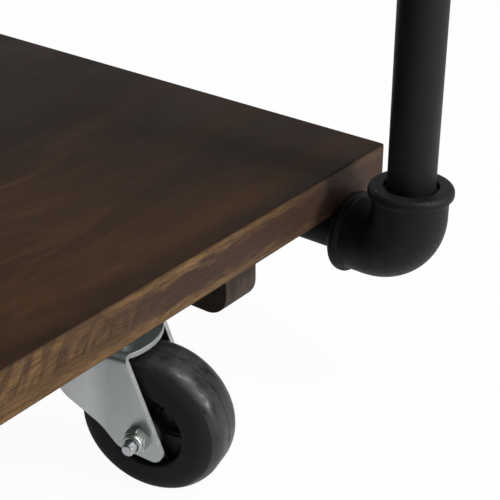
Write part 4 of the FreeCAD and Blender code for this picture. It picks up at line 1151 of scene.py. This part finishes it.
def camera_at_the_corner():
    """A long lens that looks down along the lower shelf at its front right corner."""
    low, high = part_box("lower_shelf")
    corner = Vector((high.x, low.y, high.z))
    yaw, pitch, roll = math.radians(-51.903), math.radians(28.563), math.radians(-0.268)
    back = Vector((math.sin(yaw) * math.cos(pitch), -math.cos(yaw) * math.cos(pitch), math.sin(pitch)))
    right = (-back).cross(Vector((0, 0, 1))).normalized()
    up = right.cross(-back)
    turned_right = math.cos(roll) * right + math.sin(roll) * up
    turned_up = math.cos(roll) * up - math.sin(roll) * right
    camera = show("camera", bpy.data.cameras.new("camera"))
    camera.data.lens = 86.65
    camera.data.sensor_width = 36.0
    camera.data.clip_start = 0.01
    camera.location = corner + Vector((-0.52691, -0.318346, 0.265983))
    camera.rotation_euler = Matrix((turned_right, turned_up, back)).transposed().to_euler()
    bpy.context.scene.camera = camera


class CART_OT_stage(bpy.types.Operator):
    """Sets the paper sweep, the studio light and the camera"""
    bl_idname = "cart.stage"
    bl_label = "Studio"

    def execute(self, context):
        settings = context.scene.cart_stage
        floor_mesh = bpy.data.meshes.new("paper_sweep")
        bm = bmesh.new()
        bmesh.ops.create_grid(bm, x_segments=1, y_segments=1, size=9.0)
        bm.to_mesh(floor_mesh)
        bm.free()
        floor_mesh.materials.append(white_paper(settings))
        show("paper_sweep", floor_mesh)
        white_air()
        softbox("front_softbox", (0.34, 0.45), settings.key, (0.8, -2.22, 0.94), (0.42, -0.22, 0.12))
        softbox("high_softbox", (0.8, 0.8), settings.fill, (0.76, -1.18, 1.96), (0.4, -0.2, 0.1))
        camera_at_the_corner()
        context.scene.view_settings.view_transform = "Standard"
        return {"FINISHED"}


# --- The add-on ---
SETTINGS = {
    "cart_wood": WoodSettings,
    "cart_frame": FrameSettings,
    "cart_caster": CasterSettings,
    "cart_stage": StageSettings,
}
OPERATORS = (
    CART_OT_boards,
    CART_OT_battens,
    CART_OT_tubes,
    CART_OT_fittings,
    CART_OT_forks,
    CART_OT_wheels,
    CART_OT_axles,
    CART_OT_screws,
    CART_OT_stage,
)


class CART_PT_panel(bpy.types.Panel):
    """Lists the cart's sizes, colours and steps"""
    bl_idname = "CART_PT_panel"
    bl_label = "Bar Cart"
    bl_space_type = "VIEW_3D"
    bl_region_type = "UI"
    bl_category = "Bar Cart"

    def draw(self, context):
        for name, group in SETTINGS.items():
            box = self.layout.box()
            for prop in group.__annotations__:
                box.prop(getattr(context.scene, name), prop)
        for operator in OPERATORS:
            self.layout.operator(operator.bl_idname)


def register():
    for cls in (*SETTINGS.values(), *OPERATORS, CART_PT_panel):
        bpy.utils.register_class(cls)
    for name, group in SETTINGS.items():
        setattr(bpy.types.Scene, name, PointerProperty(type=group))


def unregister():
    for name in SETTINGS:
        delattr(bpy.types.Scene, name)
    for cls in (CART_PT_panel, *reversed(OPERATORS), *reversed(SETTINGS.values())):
        bpy.utils.unregister_class(cls)


def main():
    register()
    for operator in OPERATORS:
        group, name = operator.bl_idname.split(".")
        getattr(getattr(bpy.ops, group), name)()


if __name__ == "__main__":
    main()
